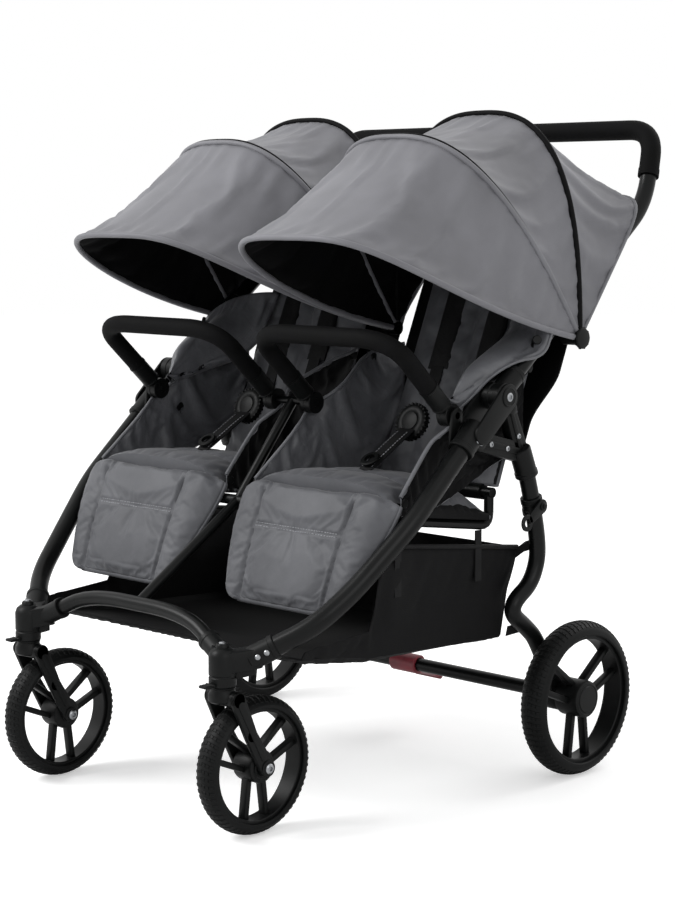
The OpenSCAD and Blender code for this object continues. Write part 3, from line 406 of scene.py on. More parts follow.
floorMaterial, tree, shader = startMaterial("paleFloor")
rays = addNode(tree, "LightPath").outputs
glow = addNode(tree, "Math", {0: rays["Is Camera Ray"], 1: studio["floorGlow"]}, operation="MULTIPLY")
setInputs(tree, shader, {"Base Color": hexColor(studio["floor"]), "Roughness": 0.9, "Emission Color": studio["white"],
                         "Emission Strength": glow.outputs["Value"]})
bm = bmesh.new()
bmesh.ops.create_circle(bm, cap_ends=True, segments=64, radius=studio["floorRadius"])
floor = newObject("floor", bm, [floorMaterial])

lamps = [
    {"name": "keyLamp", "place": (-2.2, -3.0, 3.4), "size": 2.6, "power": 165},
    {"name": "sideLamp", "place": (3.6, -1.2, 2.2), "size": 2.4, "power": 24},
    {"name": "backLamp", "place": (0.6, 3.2, 3.0), "size": 2.6, "power": 44},
]
for lamp in lamps:
    data = bpy.data.lights.new(lamp["name"], "AREA")
    data.shape = "DISK"
    data.size = lamp["size"]
    data.energy = lamp["power"]
    thing = bpy.data.objects.new(lamp["name"], data)
    thing.location = lamp["place"]
    aim = Vector(studio["aim"]) - thing.location
    thing.rotation_mode = "QUATERNION"
    thing.rotation_quaternion = aim.to_track_quat("-Z", "Y")
    scene.collection.objects.link(thing)
print("camera and studio ready")


# frame tubes

tubes = {"side": 14.6, "radius": 13, "cross": 11, "grip": 16, "gripRing": 16.8,
         "sideLine": [(245, -367, 262), (305.5, -311, 303.4), (329, -256.9, 348.3), (357, -165.9, 436.9),
                      (357, -24.7, 564.7)],
         "crossLine": [(196, -384, 262), (110, -368, 304), (-110, -368, 304), (-196, -384, 262)],
         "handleLine": [(357, 42.4, 623.1), (357, 380, 889), (337, 428, 1005)], "gripEnd": (349.9, 397, 930),
         "legLine": [(330, 110, 514), (328.5, 130, 472), (325.5, 156.6, 388.4), (324, 162.2, 345.2),
                     (322.7, 146.6, 307.9), (321.8, 107.8, 284.4), (321.1, 104.5, 264.8), (320.3, 137.8, 241.2),
                     (319.4, 165.5, 217.7), (316.8, 208.5, 143.1)]}
makePair("sideTube", tube(roundPath(tubes["sideLine"], 34, 12), tubes["side"], 7), "chassis", paint,
         "side_tube_{side}")
makePiece("crossTube", tube(roundPath(tubes["crossLine"], 80, 14), tubes["cross"], 7), "chassis", paint,
          "front_cross_tube")
handleLine = tubes["handleLine"] + [(-x, y, z) for x, y, z in reversed(tubes["handleLine"])]
handlePath = roundPath(handleLine, 46, 12)
makePiece("handleTube", tube(handlePath, tubes["radius"], 7), "handle_frame", paint, "handle_tube")
# the sleeve covers the upper bends and the bar between them, with a ring at each end
gripEnd = Vector(tubes["gripEnd"])
gripPath = [gripEnd] + handlePath[14:40] + [Vector((-gripEnd.x, gripEnd.y, gripEnd.z))]
grip = tube(gripPath, tubes["grip"], 8)
for near, far in (gripPath[:2], gripPath[:-3:-1]):
    absorb(grip, tube([near, near.lerp(far, 0.35)], tubes["gripRing"], 8))
makePiece("handleGrip", grip, "handle_frame", foam, "handle_grip")
makePair("rearLeg", tube(roundPath(tubes["legLine"], 40, 8), tubes["radius"], 7), "rear_frame", paint,
         "rear_leg_{side}")
print("tubes done")


# cloth helpers


def marks(run, count):
    # segment and share in it of stations spread evenly over a running length
    k = 0
    for i in range(count):
        want = run[-1] * i / (count - 1)
        while k < len(run) - 2 and run[k + 1] < want:
            k += 1
        span = run[k + 1] - run[k]
        yield k, ((want - run[k]) / span if span else 0)


def evenly(points, count):
    run = [0.0]
    for a, b in zip(points, points[1:]):
        run.append(run[-1] + (b - a).length)
    return [points[k].lerp(points[k + 1], t) for k, t in marks(run, count)]


def sheetGrid(columns, rows, place, size):
    # place(u, v) gives the point at two shares from 0 to 1; the cloth map is in metres
    bm = bmesh.new()
    bmesh.ops.create_grid(bm, x_segments=columns, y_segments=rows, size=0.5)
    bm.verts.index_update()
    weave = bm.loops.layers.uv.new("weave")
    shares = [(v.co.x + 0.5, v.co.y + 0.5) for v in bm.verts]
    for face in bm.faces:
        for loop in face.loops:
            u, v = shares[loop.vert.index]
            loop[weave].uv = (u * size[0] * mm, v * size[1] * mm)
    for vert, (u, v) in zip(bm.verts, shares):
        vert.co = place(u, v)
    bm.normal_update()
    return bm, shares


def faceAway(bm, centre, inward=False):
    outward = sum(f.normal.dot(f.calc_center_median() - Vector(centre)) for f in bm.faces)
    if (outward < 0) != inward:
        bmesh.ops.reverse_faces(bm, faces=bm.faces)


def padShell(columns, rows, place, size):
    # face sheet and back sheet, joined round their edge by the seam
    bm, shares = sheetGrid(columns, rows, lambda u, v: place(u, v, 1), size)
    absorb(bm, sheetGrid(columns, rows, lambda u, v: place(u, v, 0), size)[0])
    edges = [e for e in bm.edges if len(e.link_faces) == 1]
    bmesh.ops.bridge_loops(bm, edges=edges)
    bmesh.ops.recalc_face_normals(bm, faces=bm.faces)
    return bm, shares


def relax(piece, pins, look):
    # short cloth simulation: the pinned vertices hold, the rest settles under slack, weight and pressure
    start = [v.co.copy() for v in piece.data.vertices]
    piece.vertex_groups.new(name="pinned").add(pins, 1.0, "REPLACE")
    cloth = piece.modifiers.new("cloth", "CLOTH")
    settings = cloth.settings
    settings.quality = 5
    settings.mass = look["mass"]
    settings.tension_stiffness = look["tension"]
    settings.compression_stiffness = look["tension"]
    settings.shear_stiffness = look["tension"] * 0.5
    settings.bending_stiffness = look["bending"]
    settings.vertex_group_mass = "pinned"
    settings.shrink_min = -look["slack"]
    settings.effector_weights.gravity = look["weight"]
    settings.use_pressure = look["pressure"] > 0
    settings.uniform_pressure_force = look["pressure"]
    cloth.collision_settings.use_collision = False
    for step in range(1, look["frames"] + 1):
        scene.frame_set(step)
    settle(piece)
    scene.frame_set(1)
    piece.vertex_groups.clear()
    for vert, was in zip(piece.data.vertices, start):
        move = vert.co - was
        if move.length > look["cap"] * mm:
            vert.co = was + move.normalized() * look["cap"] * mm


def clothPiece(name, bm, materials, sharp, pins, look):
    # settled sheet with its thickness, and the area of one face; a second material lines it
    piece = newObject(name, bm, materials, sharp)
    if "cloth" in look:
        relax(piece, pins, look["cloth"])
    size = sum(f.area for f in piece.data.polygons)
    wall = piece.modifiers.new("wall", "SOLIDIFY")
    wall.thickness = look["thick"] * mm
    wall.offset = -1
    wall.material_offset = len(materials) - 1
    settle(piece)
    return piece, size


def lengthOf(path):
    return sum((b - a).length for a, b in zip(path, path[1:]))


def ribbon(path, width, sideways, thick):
    bm = bmesh.new()
    weave = bm.loops.layers.uv.new("weave")
    sideways = Vector(sideways).normalized()
    run, rows = 0.0, []
    for i, place in enumerate(path):
        run += (place - path[i - 1]).length if i else 0
        rows.append([(bm.verts.new(place + sideways * width * s), (s * width * mm, run * mm)) for s in (-0.5, 0, 0.5)])
    for low, high in zip(rows, rows[1:]):
        for k in (0, 1):
            quad = [low[k], low[k + 1], high[k + 1], high[k]]
            face = bm.faces.new([vert for vert, _ in quad])
            for loop, (_, spot) in zip(face.loops, quad):
                loop[weave].uv = spot
    bm.normal_update()
    bmesh.ops.solidify(bm, geom=bm.faces[:], thickness=thick)
    bmesh.ops.recalc_face_normals(bm, faces=bm.faces)
    return bm


def fullness(share):
    return 1 - abs(2 * share - 1) ** 4


def groove(x, at, width):
    return math.exp(-(((x - at) / width) ** 2))


def between(a, b, t):
    return a + (b - a) * t


def unit(t):
    return min(1, max(0, t))


def smoothly(a, b, t):
    t = unit((t - a) / (b - a))
    return t * t * (3 - 2 * t)


# canopies: three panels of lined twill stretched over three bows

canopy = {"centre": 192, "half": 187, "pivot": (188.0, 685.55), "hub": 12, "columns": 112, "samples": 1440,
          "sag": 0.02, "thick": 1.6, "heart": 200, "spread": 170,
          "cloth": {"mass": 0.15, "tension": 25, "bending": 0.6, "slack": 0.012, "weight": 0.5, "pressure": 0,
                    "frames": 22, "cap": 7}}
# angle about the pivots, reach, squareness, and how far the ends droop below the bow's plane
bows = {"back": (52.7, 270, 10, 0), "rear": (92, 340, 2.7, 0), "mid": (126, 370, 2.75, 0),
        "visor": (160.5, 462, 3.6, 9)}
canopyAxis = Vector((canopy["centre"], *canopy["pivot"]))


def bowPoint(bow, share):
    angle, reach, square, droop = bow
    c, s = math.cos(math.pi * share), math.sin(math.pi * share)
    full = max(s, 0) ** (2 / square)
    turn = math.radians(angle + droop * (1 - full))
    r = canopy["hub"] + (reach - canopy["hub"]) * full
    x = canopy["centre"] + canopy["half"] * math.copysign(abs(c) ** (2 / square), c)
    return Vector((x, canopy["pivot"][0] + r * math.cos(turn), canopy["pivot"][1] + r * math.sin(turn)))


def bowPoints(bow):
    return [bowPoint(bow, i / canopy["samples"]) for i in range(canopy["samples"] + 1)]


def bowPair(first, second):
    # points of two bows at shared turns, spread evenly over both
    one, two = bowPoints(first), bowPoints(second)
    run = [0.0]
    for k in range(canopy["samples"]):
        run.append(run[-1] + (one[k + 1] - one[k]).length + (two[k + 1] - two[k]).length)
    stations = list(marks(run, canopy["columns"] + 1))
    return [[line[k].lerp(line[k + 1], t) for k, t in stations] for line in (one, two)]


def bowLine(bow, out=0):
    # evenly spread points of a bow, some way out from the axis
    line = evenly(bowPoints(bow), canopy["columns"] + 1)
    if not out:
        return line
    return [p + Vector((0, p.y - canopyAxis.y, p.z - canopyAxis.z)).normalized() * out for p in line]


def canopyPanel(name, first, second, rows, bodies):
    columns = canopy["columns"]
    a, b = bowPair(bows[first], bows[second])

    def place(u, v):
        k = round(u * columns)
        spot = a[k].lerp(b[k], v)
        pull = 1 - canopy["sag"] * 4 * v * (1 - v)
        return Vector((spot.x, between(canopyAxis.y, spot.y, pull), between(canopyAxis.z, spot.z, pull)))

    width = max(lengthOf(a), lengthOf(b))
    length = max((p - q).length for p, q in zip(a, b))
    bm, shares = sheetGrid(columns, rows, place, (width, length))
    faceAway(bm, canopyAxis)
    pins = [i for i, (u, v) in enumerate(shares) if min(u, 1 - u, v, 1 - v) < 1e-4]
    panel, size = clothPiece(f"{name}_left", bm, [canopyTwill, liningCloth], 80, pins, canopy)
    for side, piece in bothSides(panel):
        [body.format(side=side) for body in bodies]
        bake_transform(piece)
        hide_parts(f"{name}_{side}")


canopyPanel("canopy_back", "back", "rear", 30, ("handle_frame", "rear_bow_{side}"))
canopyPanel("canopy_mid", "rear", "mid", 22, ("rear_bow_{side}", "mid_bow_{side}"))
canopyPanel("canopy_visor", "mid", "visor", 26, ("mid_bow_{side}", "visor_{side}"))

# hems and pipings along the bows: line, radius, resolution
angle, reach, square, _ = bows["mid"]
for name, line, radius, resolution, body, finish in (
        ("rearPiping", bowLine(bows["rear"], 1.5), 4.6, 4, "rear_bow_{side}", blackTrim),
        ("midRoll", bowLine(bows["mid"], 0.8), 4.2, 4, "mid_bow_{side}", twill),
        ("midLine", bowLine((angle - 1.0, reach + 1.5, square, 0)), 1.8, 3, "mid_bow_{side}", blackTrim),
        ("lipHem", bowLine(bows["visor"]), 4.6, 4, "visor_{side}", twill),
        ("backHem", bowLine(bows["back"]), 3.0, 3, "handle_frame", twill)):
    makePair(name, tube(line, radius, resolution), body, finish)
print("canopies done")

# seat pads: crowned, sewn across twice, black underneath, with the knee edge continuing into the legrests

padding = {"mass": 0.2, "tension": 14, "bending": 0.08, "slack": 0.03, "weight": 0, "pressure": 2.5, "frames": 18,
           "cap": 4}
rail = {"y": -165.5, "z": 436.8, "fall": 0.1403, "radius": 8.4}
pads = {"x": 182, "front": -174.5, "rear": 71.5, "half": 150, "seam": 9, "thick": 46, "rearThick": 62, "piping": 3.2,
        "crown": 3, "rows": (0.33, 0.66), "dip": 5, "pucker": 1.6, "cloth": {**padding, "pressure": 3.0}}


def railZ(y):
    return rail["z"] - (y - rail["y"]) * rail["fall"]


def seatHalf(v):
    return pads["half"] * (1 - 0.2 * v) * (1 - 0.03 * math.sin(math.pi * v))


def seatPoint(u, v, side):
    y = between(pads["front"], pads["rear"], v)
    base = railZ(y) + rail["radius"] + pads["seam"] / 2
    thick = between(pads["thick"], pads["rearThick"], v) - pads["seam"] + pads["crown"]
    swell = fullness(u) * fullness(between(0.2, 1, v)) * thick
    dip = pads["dip"] * fullness(u) * max(groove(v, at, 0.02) for at in pads["rows"])
    pucker = pads["pucker"] * math.sin(9 * math.pi * v) * groove(abs(2 * u - 1), 0.9, 0.08)
    lift = pads["seam"] / 2 + swell - dip + pucker if side else -pads["seam"] / 2
    return Vector((pads["x"] + (2 * u - 1) * seatHalf(v), y, base + lift))


def edgePath(place, columns, rows, sides):
    # middle of the seam along the sides asked for: left, far, right, near
    along, across = [j / rows for j in range(rows + 1)], [i / columns for i in range(columns + 1)]
    runs = {"left": [(0, v) for v in along], "far": [(u, 1) for u in across],
            "right": [(1, 1 - v) for v in along], "near": [(1 - u, 0) for u in across]}
    path = []
    for side in sides:
        line = [(place(u, v, 0) + place(u, v, 1)) / 2 for u, v in runs[side]]
        path += [spot for spot in line if not path or (spot - path[-1]).length > 0.5]
    return path


def makePad(name, place, columns, rows, size, seams, body, replaced, cloth, sides, border=1):
    # the back sheet and what lies beyond the border are black
    bm, shares = padShell(columns, rows, place, size)
    pins = [i for i, (u, v) in enumerate(shares) if min(u, 1 - u, v, 1 - v) < 1e-4 or seams(u, v)]
    pins += list(range(len(shares), len(bm.verts)))
    bm.verts.index_update()
    for face in bm.faces:
        front = [shares[v.index][0] for v in face.verts if v.index < len(shares)]
        face.material_index = 1 if not front or min(front) > border else 0
    pad = newObject(f"{name}_left", bm, [padCloth, liningCloth], 70)
    relax(pad, pins, cloth)
    edge = tube(edgePath(place, columns, rows, sides), pads["piping"], 4)
    makePair(f"{name}Piping", edge, body, padFace)
    for side, piece in bothSides(pad):
        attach(piece, body.format(side=side))
        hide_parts(replaced.format(side=side))
    return pad


makePad("seatPad", seatPoint, 64, 56, (300, 246), lambda u, v: min(abs(v - at) for at in pads["rows"]) < 0.009,
        "chassis", "seat_pad_{side}", pads["cloth"], ["left", "far"], 0.96)
print("seat pads done")

# legrests: wide knee drawn in to a panel between two seams, a double stitch across, a rolled hem

legs = {"lean": math.radians(23), "hinge": (-184, 465), "top": 157, "hem": 107, "length": 170, "roll": 0.16,
        "rollTurn": math.radians(125), "thick": 8, "back": 4.2, "seam": 92, "seamLow": 84, "band": 0.34,
        "hemRoll": 4.6, "columns": 96}


def legPlace(x, s, n):
    c, d = math.cos(legs["lean"]), math.sin(legs["lean"])
    return Vector((pads["x"] + x, legs["hinge"][0] - s * d - n * c, legs["hinge"][1] - s * c + n * d))


def legHalf(v):
    corner, roll = max(0, (v - 0.9) / 0.1), max(0, -v / legs["roll"])
    drawn = (legs["top"] - legs["hem"]) * max(0, v) ** 1.8
    return legs["top"] - drawn - 14 * (1 - math.sqrt(max(0, 1 - corner ** 2))) - 16 * roll ** 2


def legSeamX(v):
    return between(legs["seam"], legs["seamLow"], max(0, v))


def legPoint(u, share, side):
    # the first part of the length rolls over the knee about the hinge, the rest hangs in front
    v = between(-legs["roll"], 1, share)
    half, seam = legHalf(v), legSeamX(v)
    x = (1 - 2 * u) * half
    beyond = max(0, (abs(x) - seam) / max(half - seam, 1))
    wrap = beyond ** 1.4 * between(18, -8, unit(v))
    crown = fullness(u)
    puff = 3.5 * math.sin(math.pi * min(1, beyond))
    dip = 4.5 * groove(abs(x), seam, 3.4) * unit((v + 0.1) / 0.12)
    dip = max(dip, 4 * groove(v, legs["band"], 0.018) * (abs(x) < seam))
    crinkle = 1.3 * math.sin(x / 5.5 + 4 * v) * groove(abs(x), 30, 22) * max(0, v - legs["band"])
    pucker = 2.6 * math.cos(x / 8) * groove(v, 0.0, 0.07) * groove(abs(x), legs["seam"], 24)
    full = 5 + 6 * crown + 5.5 * crown * math.sin(math.pi * unit(v + 0.1)) + puff + pucker + crinkle - dip
    full = between(legs["back"], full, unit((1 - v) / 0.08) ** 0.5)
    if v < 0:
        turn = -v / legs["roll"] * legs["rollTurn"]
        reach = full if side else full - legs["thick"]
        return legPlace(x, -reach * math.sin(turn), reach * math.cos(turn) - wrap)
    early = max(0, 1 - v / 0.15)
    back = between(-legs["back"], full - legs["thick"], early * early)
    return legPlace(x, v * legs["length"], (full if side else back) - wrap)


def legSeam(u, share):
    v = between(-legs["roll"], 1, share)
    x = abs(1 - 2 * u) * legHalf(v)
    return (abs(v - legs["band"]) < 0.011 and x < legSeamX(v)) or abs(x - legSeamX(v)) < 2.0


legPad = makePad("legrest", legPoint, legs["columns"], 68, (320, 205), legSeam, "legrest_{side}", "legrest_{side}",
                 padding, ["left", "far", "right"])
hemShares = [i / legs["columns"] for i in range(2, legs["columns"] - 1)]
hemLine = [(legPoint(u, 1, 0) + legPoint(u, 1, 1)) / 2 for u in hemShares]
makePair("legrestHem", tube(hemLine, legs["hemRoll"], 5), "legrest_{side}", padFace)

# double row of stitches across each legrest, laid on the finished pad
stitch = {"size": (3.4, 1.1, 0.9), "pitch": 5.4, "rows": (-2.6, 2.6), "margin": 8, "before": 60}


def layStitches(pad, spots, outward, along):
    # spots: points in front of the pad; each stitch is laid where the pad is met
    corners = [v.co / mm for v in pad.data.vertices]
    surface = BVHTree.FromPolygons(corners, [tuple(f.vertices) for f in pad.data.polygons])
    rows = bmesh.new()
    for spot in spots:
        hit, normal = surface.ray_cast(spot, -outward)[:2]
        if hit is None:
            continue
        side = (along - normal * along.dot(normal)).normalized()
        turn = Matrix((side, normal.cross(side), normal)).transposed().to_4x4()
        absorb(rows, block(stitch["size"], Matrix.Translation(hit) @ turn, 0))
    return rows


legOut = Vector((0, -math.cos(legs["lean"]), math.sin(legs["lean"])))
count = int(2 * (legs["seam"] - stitch["margin"]) / stitch["pitch"])
spots = [legPlace(-legs["seam"] + stitch["margin"] + i * stitch["pitch"], legs["band"] * legs["length"] + row,
                  stitch["before"]) for row in stitch["rows"] for i in range(count)]
makePair("legrestStitches", layStitches(legPad, spots, legOut, xAxis), "legrest_{side}", (threadGrey, "pad_cloth"))
print("legrests done")

# backrests, with a black cloth shell behind them that fills the space up to the canopy

backs = {"angle": math.radians(67), "pivot": (84, 452), "from": 12.5, "length": 408, "half": 120, "rows": (-60, 0, 60)}


def backPlace(x, s, n):
    c, d = math.cos(backs["angle"]), math.sin(backs["angle"])
    return Vector((pads["x"] + x, backs["pivot"][0] + s * c - n * d, backs["pivot"][1] + s * d + n * c))


def backPoint(u, v, side):
    x = (2 * u - 1) * (backs["half"] * (1 - 0.03 * math.sin(math.pi * v)))
    full = 4.5 + 10.5 * fullness(u) * fullness(v)
    dip = 5 * fullness(v) * max(groove(x, at, 5) for at in backs["rows"])
    return backPlace(x, backs["from"] + v * backs["length"], full - dip if side else -full)


makePad("backrest", backPoint, 64, 72, (240, 408),
        lambda u, v: min(abs((2 * u - 1) * backs["half"] - at) for at in backs["rows"]) < 2, "back_{side}",
        "backrest_{side}", padding, ["left", "far", "right", "near"], 0.97)

shell = {"from": 70, "to": 418, "inner": 172, "outer": 156, "low": 126, "widens": (120, 210), "behind": -31,
         "bulge": 12, "wave": 3, "thick": 1.6}


def shellPoint(u, v):
    s = between(shell["from"], shell["to"], v)
    wide = smoothly(*shell["widens"], s)
    left, right = -between(shell["low"], shell["inner"], wide), between(shell["low"], shell["outer"], wide)
    n = shell["behind"] - shell["bulge"] * fullness(u) * math.sin(math.pi * v)
    n += shell["wave"] * math.sin(7 * math.pi * u) * math.sin(math.pi * v)
    return backPlace(between(left, right, u), s, n)


bm, _ = sheetGrid(40, 48, shellPoint, (328, 348))
faceAway(bm, backPlace(0, 200, 400))
shellPiece, shellArea = clothPiece("backShell_left", bm, [liningCloth], 80, [], shell)
for side, piece in bothSides(shellPiece):
    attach(piece, f"recline_{side}")
    foldFlat(piece, 0.47, 0.12)
print("backrests done")

# harness: padded shoulder straps, webbing, round ribbed buckles on padded crotch straps

harness = {"x": 46, "width": 40, "thick": 8, "low": 15.4, "from": 0.42, "to": 0.86, "webbing": 25, "webThick": 1.6,
           "slit": (182, -76.1, 489.6), "buckle": (182, 30, 555.6), "ribs": 26, "ribAt": 28.2, "rib": (4.2, 3.4, 11),
           "crotch": 15, "crotchThick": 5.5, "fold": (0.489, 0.15)}


def strapPoint(u, v, side):
    s = backs["from"] + between(harness["from"], harness["to"], v) * backs["length"]
    lift = harness["thick"] * (0.35 + 0.65 * fullness(u) * fullness(v)) if side else 0
    return backPlace(harness["x"] + (2 * u - 1) * harness["width"] / 2, s, harness["low"] + lift)


straps = bmesh.new()
for place in (strapPoint, lambda u, v, side: strapPoint(u, v, side) - Vector((2 * harness["x"], 0, 0))):
    absorb(straps, padShell(12, 40, place, (40, 180))[0])
for pad in makePair("shoulderPads", straps, "back_{side}", strapPad, "shoulder_straps_{side}", sharp=60):
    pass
webs = bmesh.new()
for x in (-harness["x"], harness["x"]):
    for at, shares, out in ((x, (0.85, 0.9, 0.95, 0.985), 2), (x * 0.98, (0.43, 0.36, 0.3), 3)):
        line = [backPlace(at, backs["from"] + t * backs["length"], harness["low"] + out) for t in shares]
        absorb(webs, ribbon(line, harness["webbing"], xAxis, harness["webThick"]))
makePair("shoulderWebs", webs, "back_{side}", blackWeb)

slit, heart = Vector(harness["slit"]), Vector(harness["buckle"])
face = Vector((0, -math.sin(backs["angle"]), math.cos(backs["angle"])))
buckle = lathe([(0, -7), (25, -7), (28, -5), (28, 4), (25, 6.4), (17, 7), (15, 6), (14, 7.4), (8, 8.4), (0, 8.6)],
               face, heart, 52)
side = face.orthogonal().normalized()
for i in range(harness["ribs"]):
    out = Matrix.Rotation(math.tau * i / harness["ribs"], 4, face) @ side
    turn = Matrix((out, face.cross(out), face)).transposed().to_4x4()
    absorb(buckle, block(harness["rib"], Matrix.Translation(heart + out * harness["ribAt"]) @ turn, 1.0))


def crotchPoint(u, v, side):
    spot = slit.lerp(heart - face * 6, v * 0.86)
    lift = harness["crotchThick"] * (0.3 + 0.7 * fullness(u) * fullness(v)) if side else 0
    return spot + Vector(((2 * u - 1) * harness["crotch"] * (1 - 0.25 * max(0, 0.12 - v) / 0.12), 0, lift + 1))


strap, _ = padShell(12, 36, crotchPoint, (30, 110))
along, above = (heart - slit).normalized(), Vector((0, -0.53, 0.85))
adjuster = lathe(bothWays([(9, -2.5), (14, -2.5), (15.5, -1)], True), above,
                 slit.lerp(heart, 0.14) + Vector((0, -3, 8)), 28)
for name, part, finish in (("buckle", buckle, nylon), ("crotchPad", strap, strapPad),
                           ("strapAdjuster", adjuster, nylon)):
    for piece in makePair(name, part, "chassis", finish, "buckles"):
        foldFlat(piece, *harness["fold"])
padTop = bpy.data.objects["crotchPad_left"]
spots = [slit.lerp(heart, 0.08 + 0.7 * i / 15) + Vector((x, 0, 0)) + above * 40
         for x in (-9.5, 9.5) for i in range(16)]
stitches = layStitches(padTop, spots, above, along)
for piece in makePair("crotchStitches", stitches, "chassis", (threadGrey, "black_cloth")):
    foldFlat(piece, *harness["fold"])
print("harness done")

# wings: thin side cloth from the seat edge up to a bound hem, grey inside and black outside, bulging round the
# socket of the bar

wing = {"front": -160, "rear": 146, "base": 445.2, "fall": 0.032, "rise": 230, "tops": (0.12, 0.45, 0.69, 0.88, 1),
        "corner": 0.88, "cornerY": 118, "bulge": 20, "bulgeWidth": 34, "flare": 40, "lift": 74, "gap": 2,
        "thick": 1.6, "hem": 3.0, "columns": 64, "fold": (0.446, 0.3),
        "cloth": {"mass": 0.12, "tension": 10, "bending": 0.05, "slack": 0.05, "weight": 0.5, "pressure": 0,
                  "frames": 20, "cap": 7}}


def wingTop(u):
    spot = u * (len(wing["tops"]) - 1)
    k = min(int(spot), len(wing["tops"]) - 2)
    return wing["rise"] * between(wing["tops"][k], wing["tops"][k + 1], spot - k)


def wingPoint(u, v, lift=0):
    # up to the corner the cloth runs along the seat; behind it, it turns in to the backrest
    past = max(0, (u - wing["corner"]) / (1 - wing["corner"]))
    y = between(wing["front"], wing["cornerY"], min(1, u / wing["corner"])) + past * (wing["rear"] - wing["cornerY"])
    share = unit((y - pads["front"]) / (pads["rear"] - pads["front"]))
    base = wing["base"] - (y - rail["y"]) * wing["fall"]
    z = between(base + lift * smoothly(0.15, 1, u), base + wingTop(u), v)
    outward = wing["flare"] * smoothly(0.45, wing["corner"], u) * smoothly(0.7, 1, v) * (1 - past)
    near = math.hypot(y - joints["barPin"][0], z - joints["barPin"][1])
    bulge = wing["bulge"] * math.exp(-((near / wing["bulgeWidth"]) ** 2))
    return Vector((pads["x"] + seatHalf(share) + wing["gap"] + outward + bulge, y, z))


def wingPinned(u, v):
    atHem = v > 0.99 and round(u * wing["columns"]) % 4 == 0
    return v < 0.01 or u < 0.01 or u > 0.99 or atHem or groove(u, 0.41, 0.06) * v > 0.5


def makeWing(name, columns, rows, place, size, towards, pinned, look):
    bm, shares = sheetGrid(columns, rows, place, size)
    faceAway(bm, towards, inward=True)
    pins = [i for i, share in enumerate(shares) if pinned(*share)]
    return clothPiece(f"{name}_left", bm, [wingCloth, liningCloth], 80, pins, look)


def hangWing(piece):
    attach(piece, "chassis")
    foldFlat(piece, *wing["fold"])


acrossSeat = Matrix.Translation((2 * pads["x"] * mm, 0, 0)) @ Matrix.Diagonal((-1, 1, 1, 1))
topLine = [wingPoint(i / wing["columns"], 1) for i in range(wing["columns"] + 1)]
for name, lift, node in (("sideWing", wing["lift"], "side_wing_{side}"), ("centreWing", 0, "centre_wings")):
    cloth, size = makeWing(name, wing["columns"], 44, lambda u, v: wingPoint(u, v, lift), (306, 230),
                           (pads["x"], 0, 500), wingPinned, wing)
    hem = newObject(f"{name}Hem_left", tube(topLine, wing["hem"], 4), [wingCloth])
    if name == "centreWing":
        for piece in (cloth, hem):
            piece.data.transform(acrossSeat)
            piece.data.flip_normals()
    for side, piece in bothSides(cloth):
        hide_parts(node.format(side=side))
        hangWing(piece)
    for side, piece in bothSides(hem):
        hangWing(piece)

# upper side cloth: from the backrest over the folding tube to a press stud on its outside
# hem: x, along the tube from the hinge, above it
flap = {"run": (0.7856, 0.6188), "bulge": 56, "out": (-0.2, -0.8, 0.55), "thick": 1.4, "hemRadius": 2.4, "columns": 56,
        "hem": [(319, -45, 12), (334, -20, 18), (348, 6, 27), (357, 36, 24), (368, 62, 17), (377, 82, 4),
                (380, 104, -2), (378, 132, 8)],
        "inner": [(314, -12, 590), (303, 40, 606), (290, 108, 622), (274, 148, 655), (264, 182, 735)],
        "cloth": wing["cloth"]}


def besideTube(x, along, above):
    y, z = flap["run"]
    return Vector((x, joints["hinge"][0] + along * y - above * z, joints["hinge"][1] + along * z + above * y))


hemCurve = evenly(roundPath([besideTube(*spot) for spot in flap["hem"]], 16), flap["columns"] + 1)
innerCurve = evenly(roundPath(flap["inner"], 24), flap["columns"] + 1)


def flapPoint(u, v):
    k = round(u * flap["columns"])
    bulge = flap["bulge"] * max(0, math.sin(math.pi * v)) ** 0.7 * math.sin(math.pi * (0.15 + 0.7 * u))
    return hemCurve[k].lerp(innerCurve[k], v) + Vector(flap["out"]) * bulge


cloth, size = makeWing("upperWing", flap["columns"], 40, flapPoint, (190, 110), (pads["x"], -300, 700),
                       lambda u, v: v < 0.01 or v > 0.99 or u < 0.01 or u > 0.99, flap)
hem = newObject("upperWingHem_left", tube(hemCurve, flap["hemRadius"], 4), [wingCloth])
for side, piece in bothSides(cloth):
    hangWing(piece)
for side, piece in bothSides(hem):
    hangWing(piece)

# press studs on the wings' corners
studProfile = bothWays([(0, -2.6), (6, -2.6), (7, -1.6)])
studs = lathe(studProfile, (0.75, -0.62, 0.2), flapPoint(0.88, 0.09) + Vector((2, -2, 1)), 24)
for u, v in ((0.03, 0.5), (0.865, 0.96)):
    spot = wingPoint(u, v)
    for x in (spot.x, 2 * pads["x"] - spot.x):
        absorb(studs, lathe(studProfile, xAxis, (x, spot.y, spot.z), 24))
for piece in makePair("wingStuds", studs, "chassis", nylon):
    foldFlat(piece, *wing["fold"])
print("wings done")

# bumper bars: foam sleeve, end caps and pegs

bars = {"ends": (42, 322), "turn": math.radians(137), "reach": 168, "corner": 70, "foam": 14, "foamFrom": 60,
        "capFrom": 20, "cap": 42, "peg": (12, 50), "pegRadius": 8}
barRun = Vector((0, math.cos(bars["turn"]), math.sin(bars["turn"])))


def barFoot(x, distance):
    return Vector((x, *joints["barPin"])) + barRun * distance


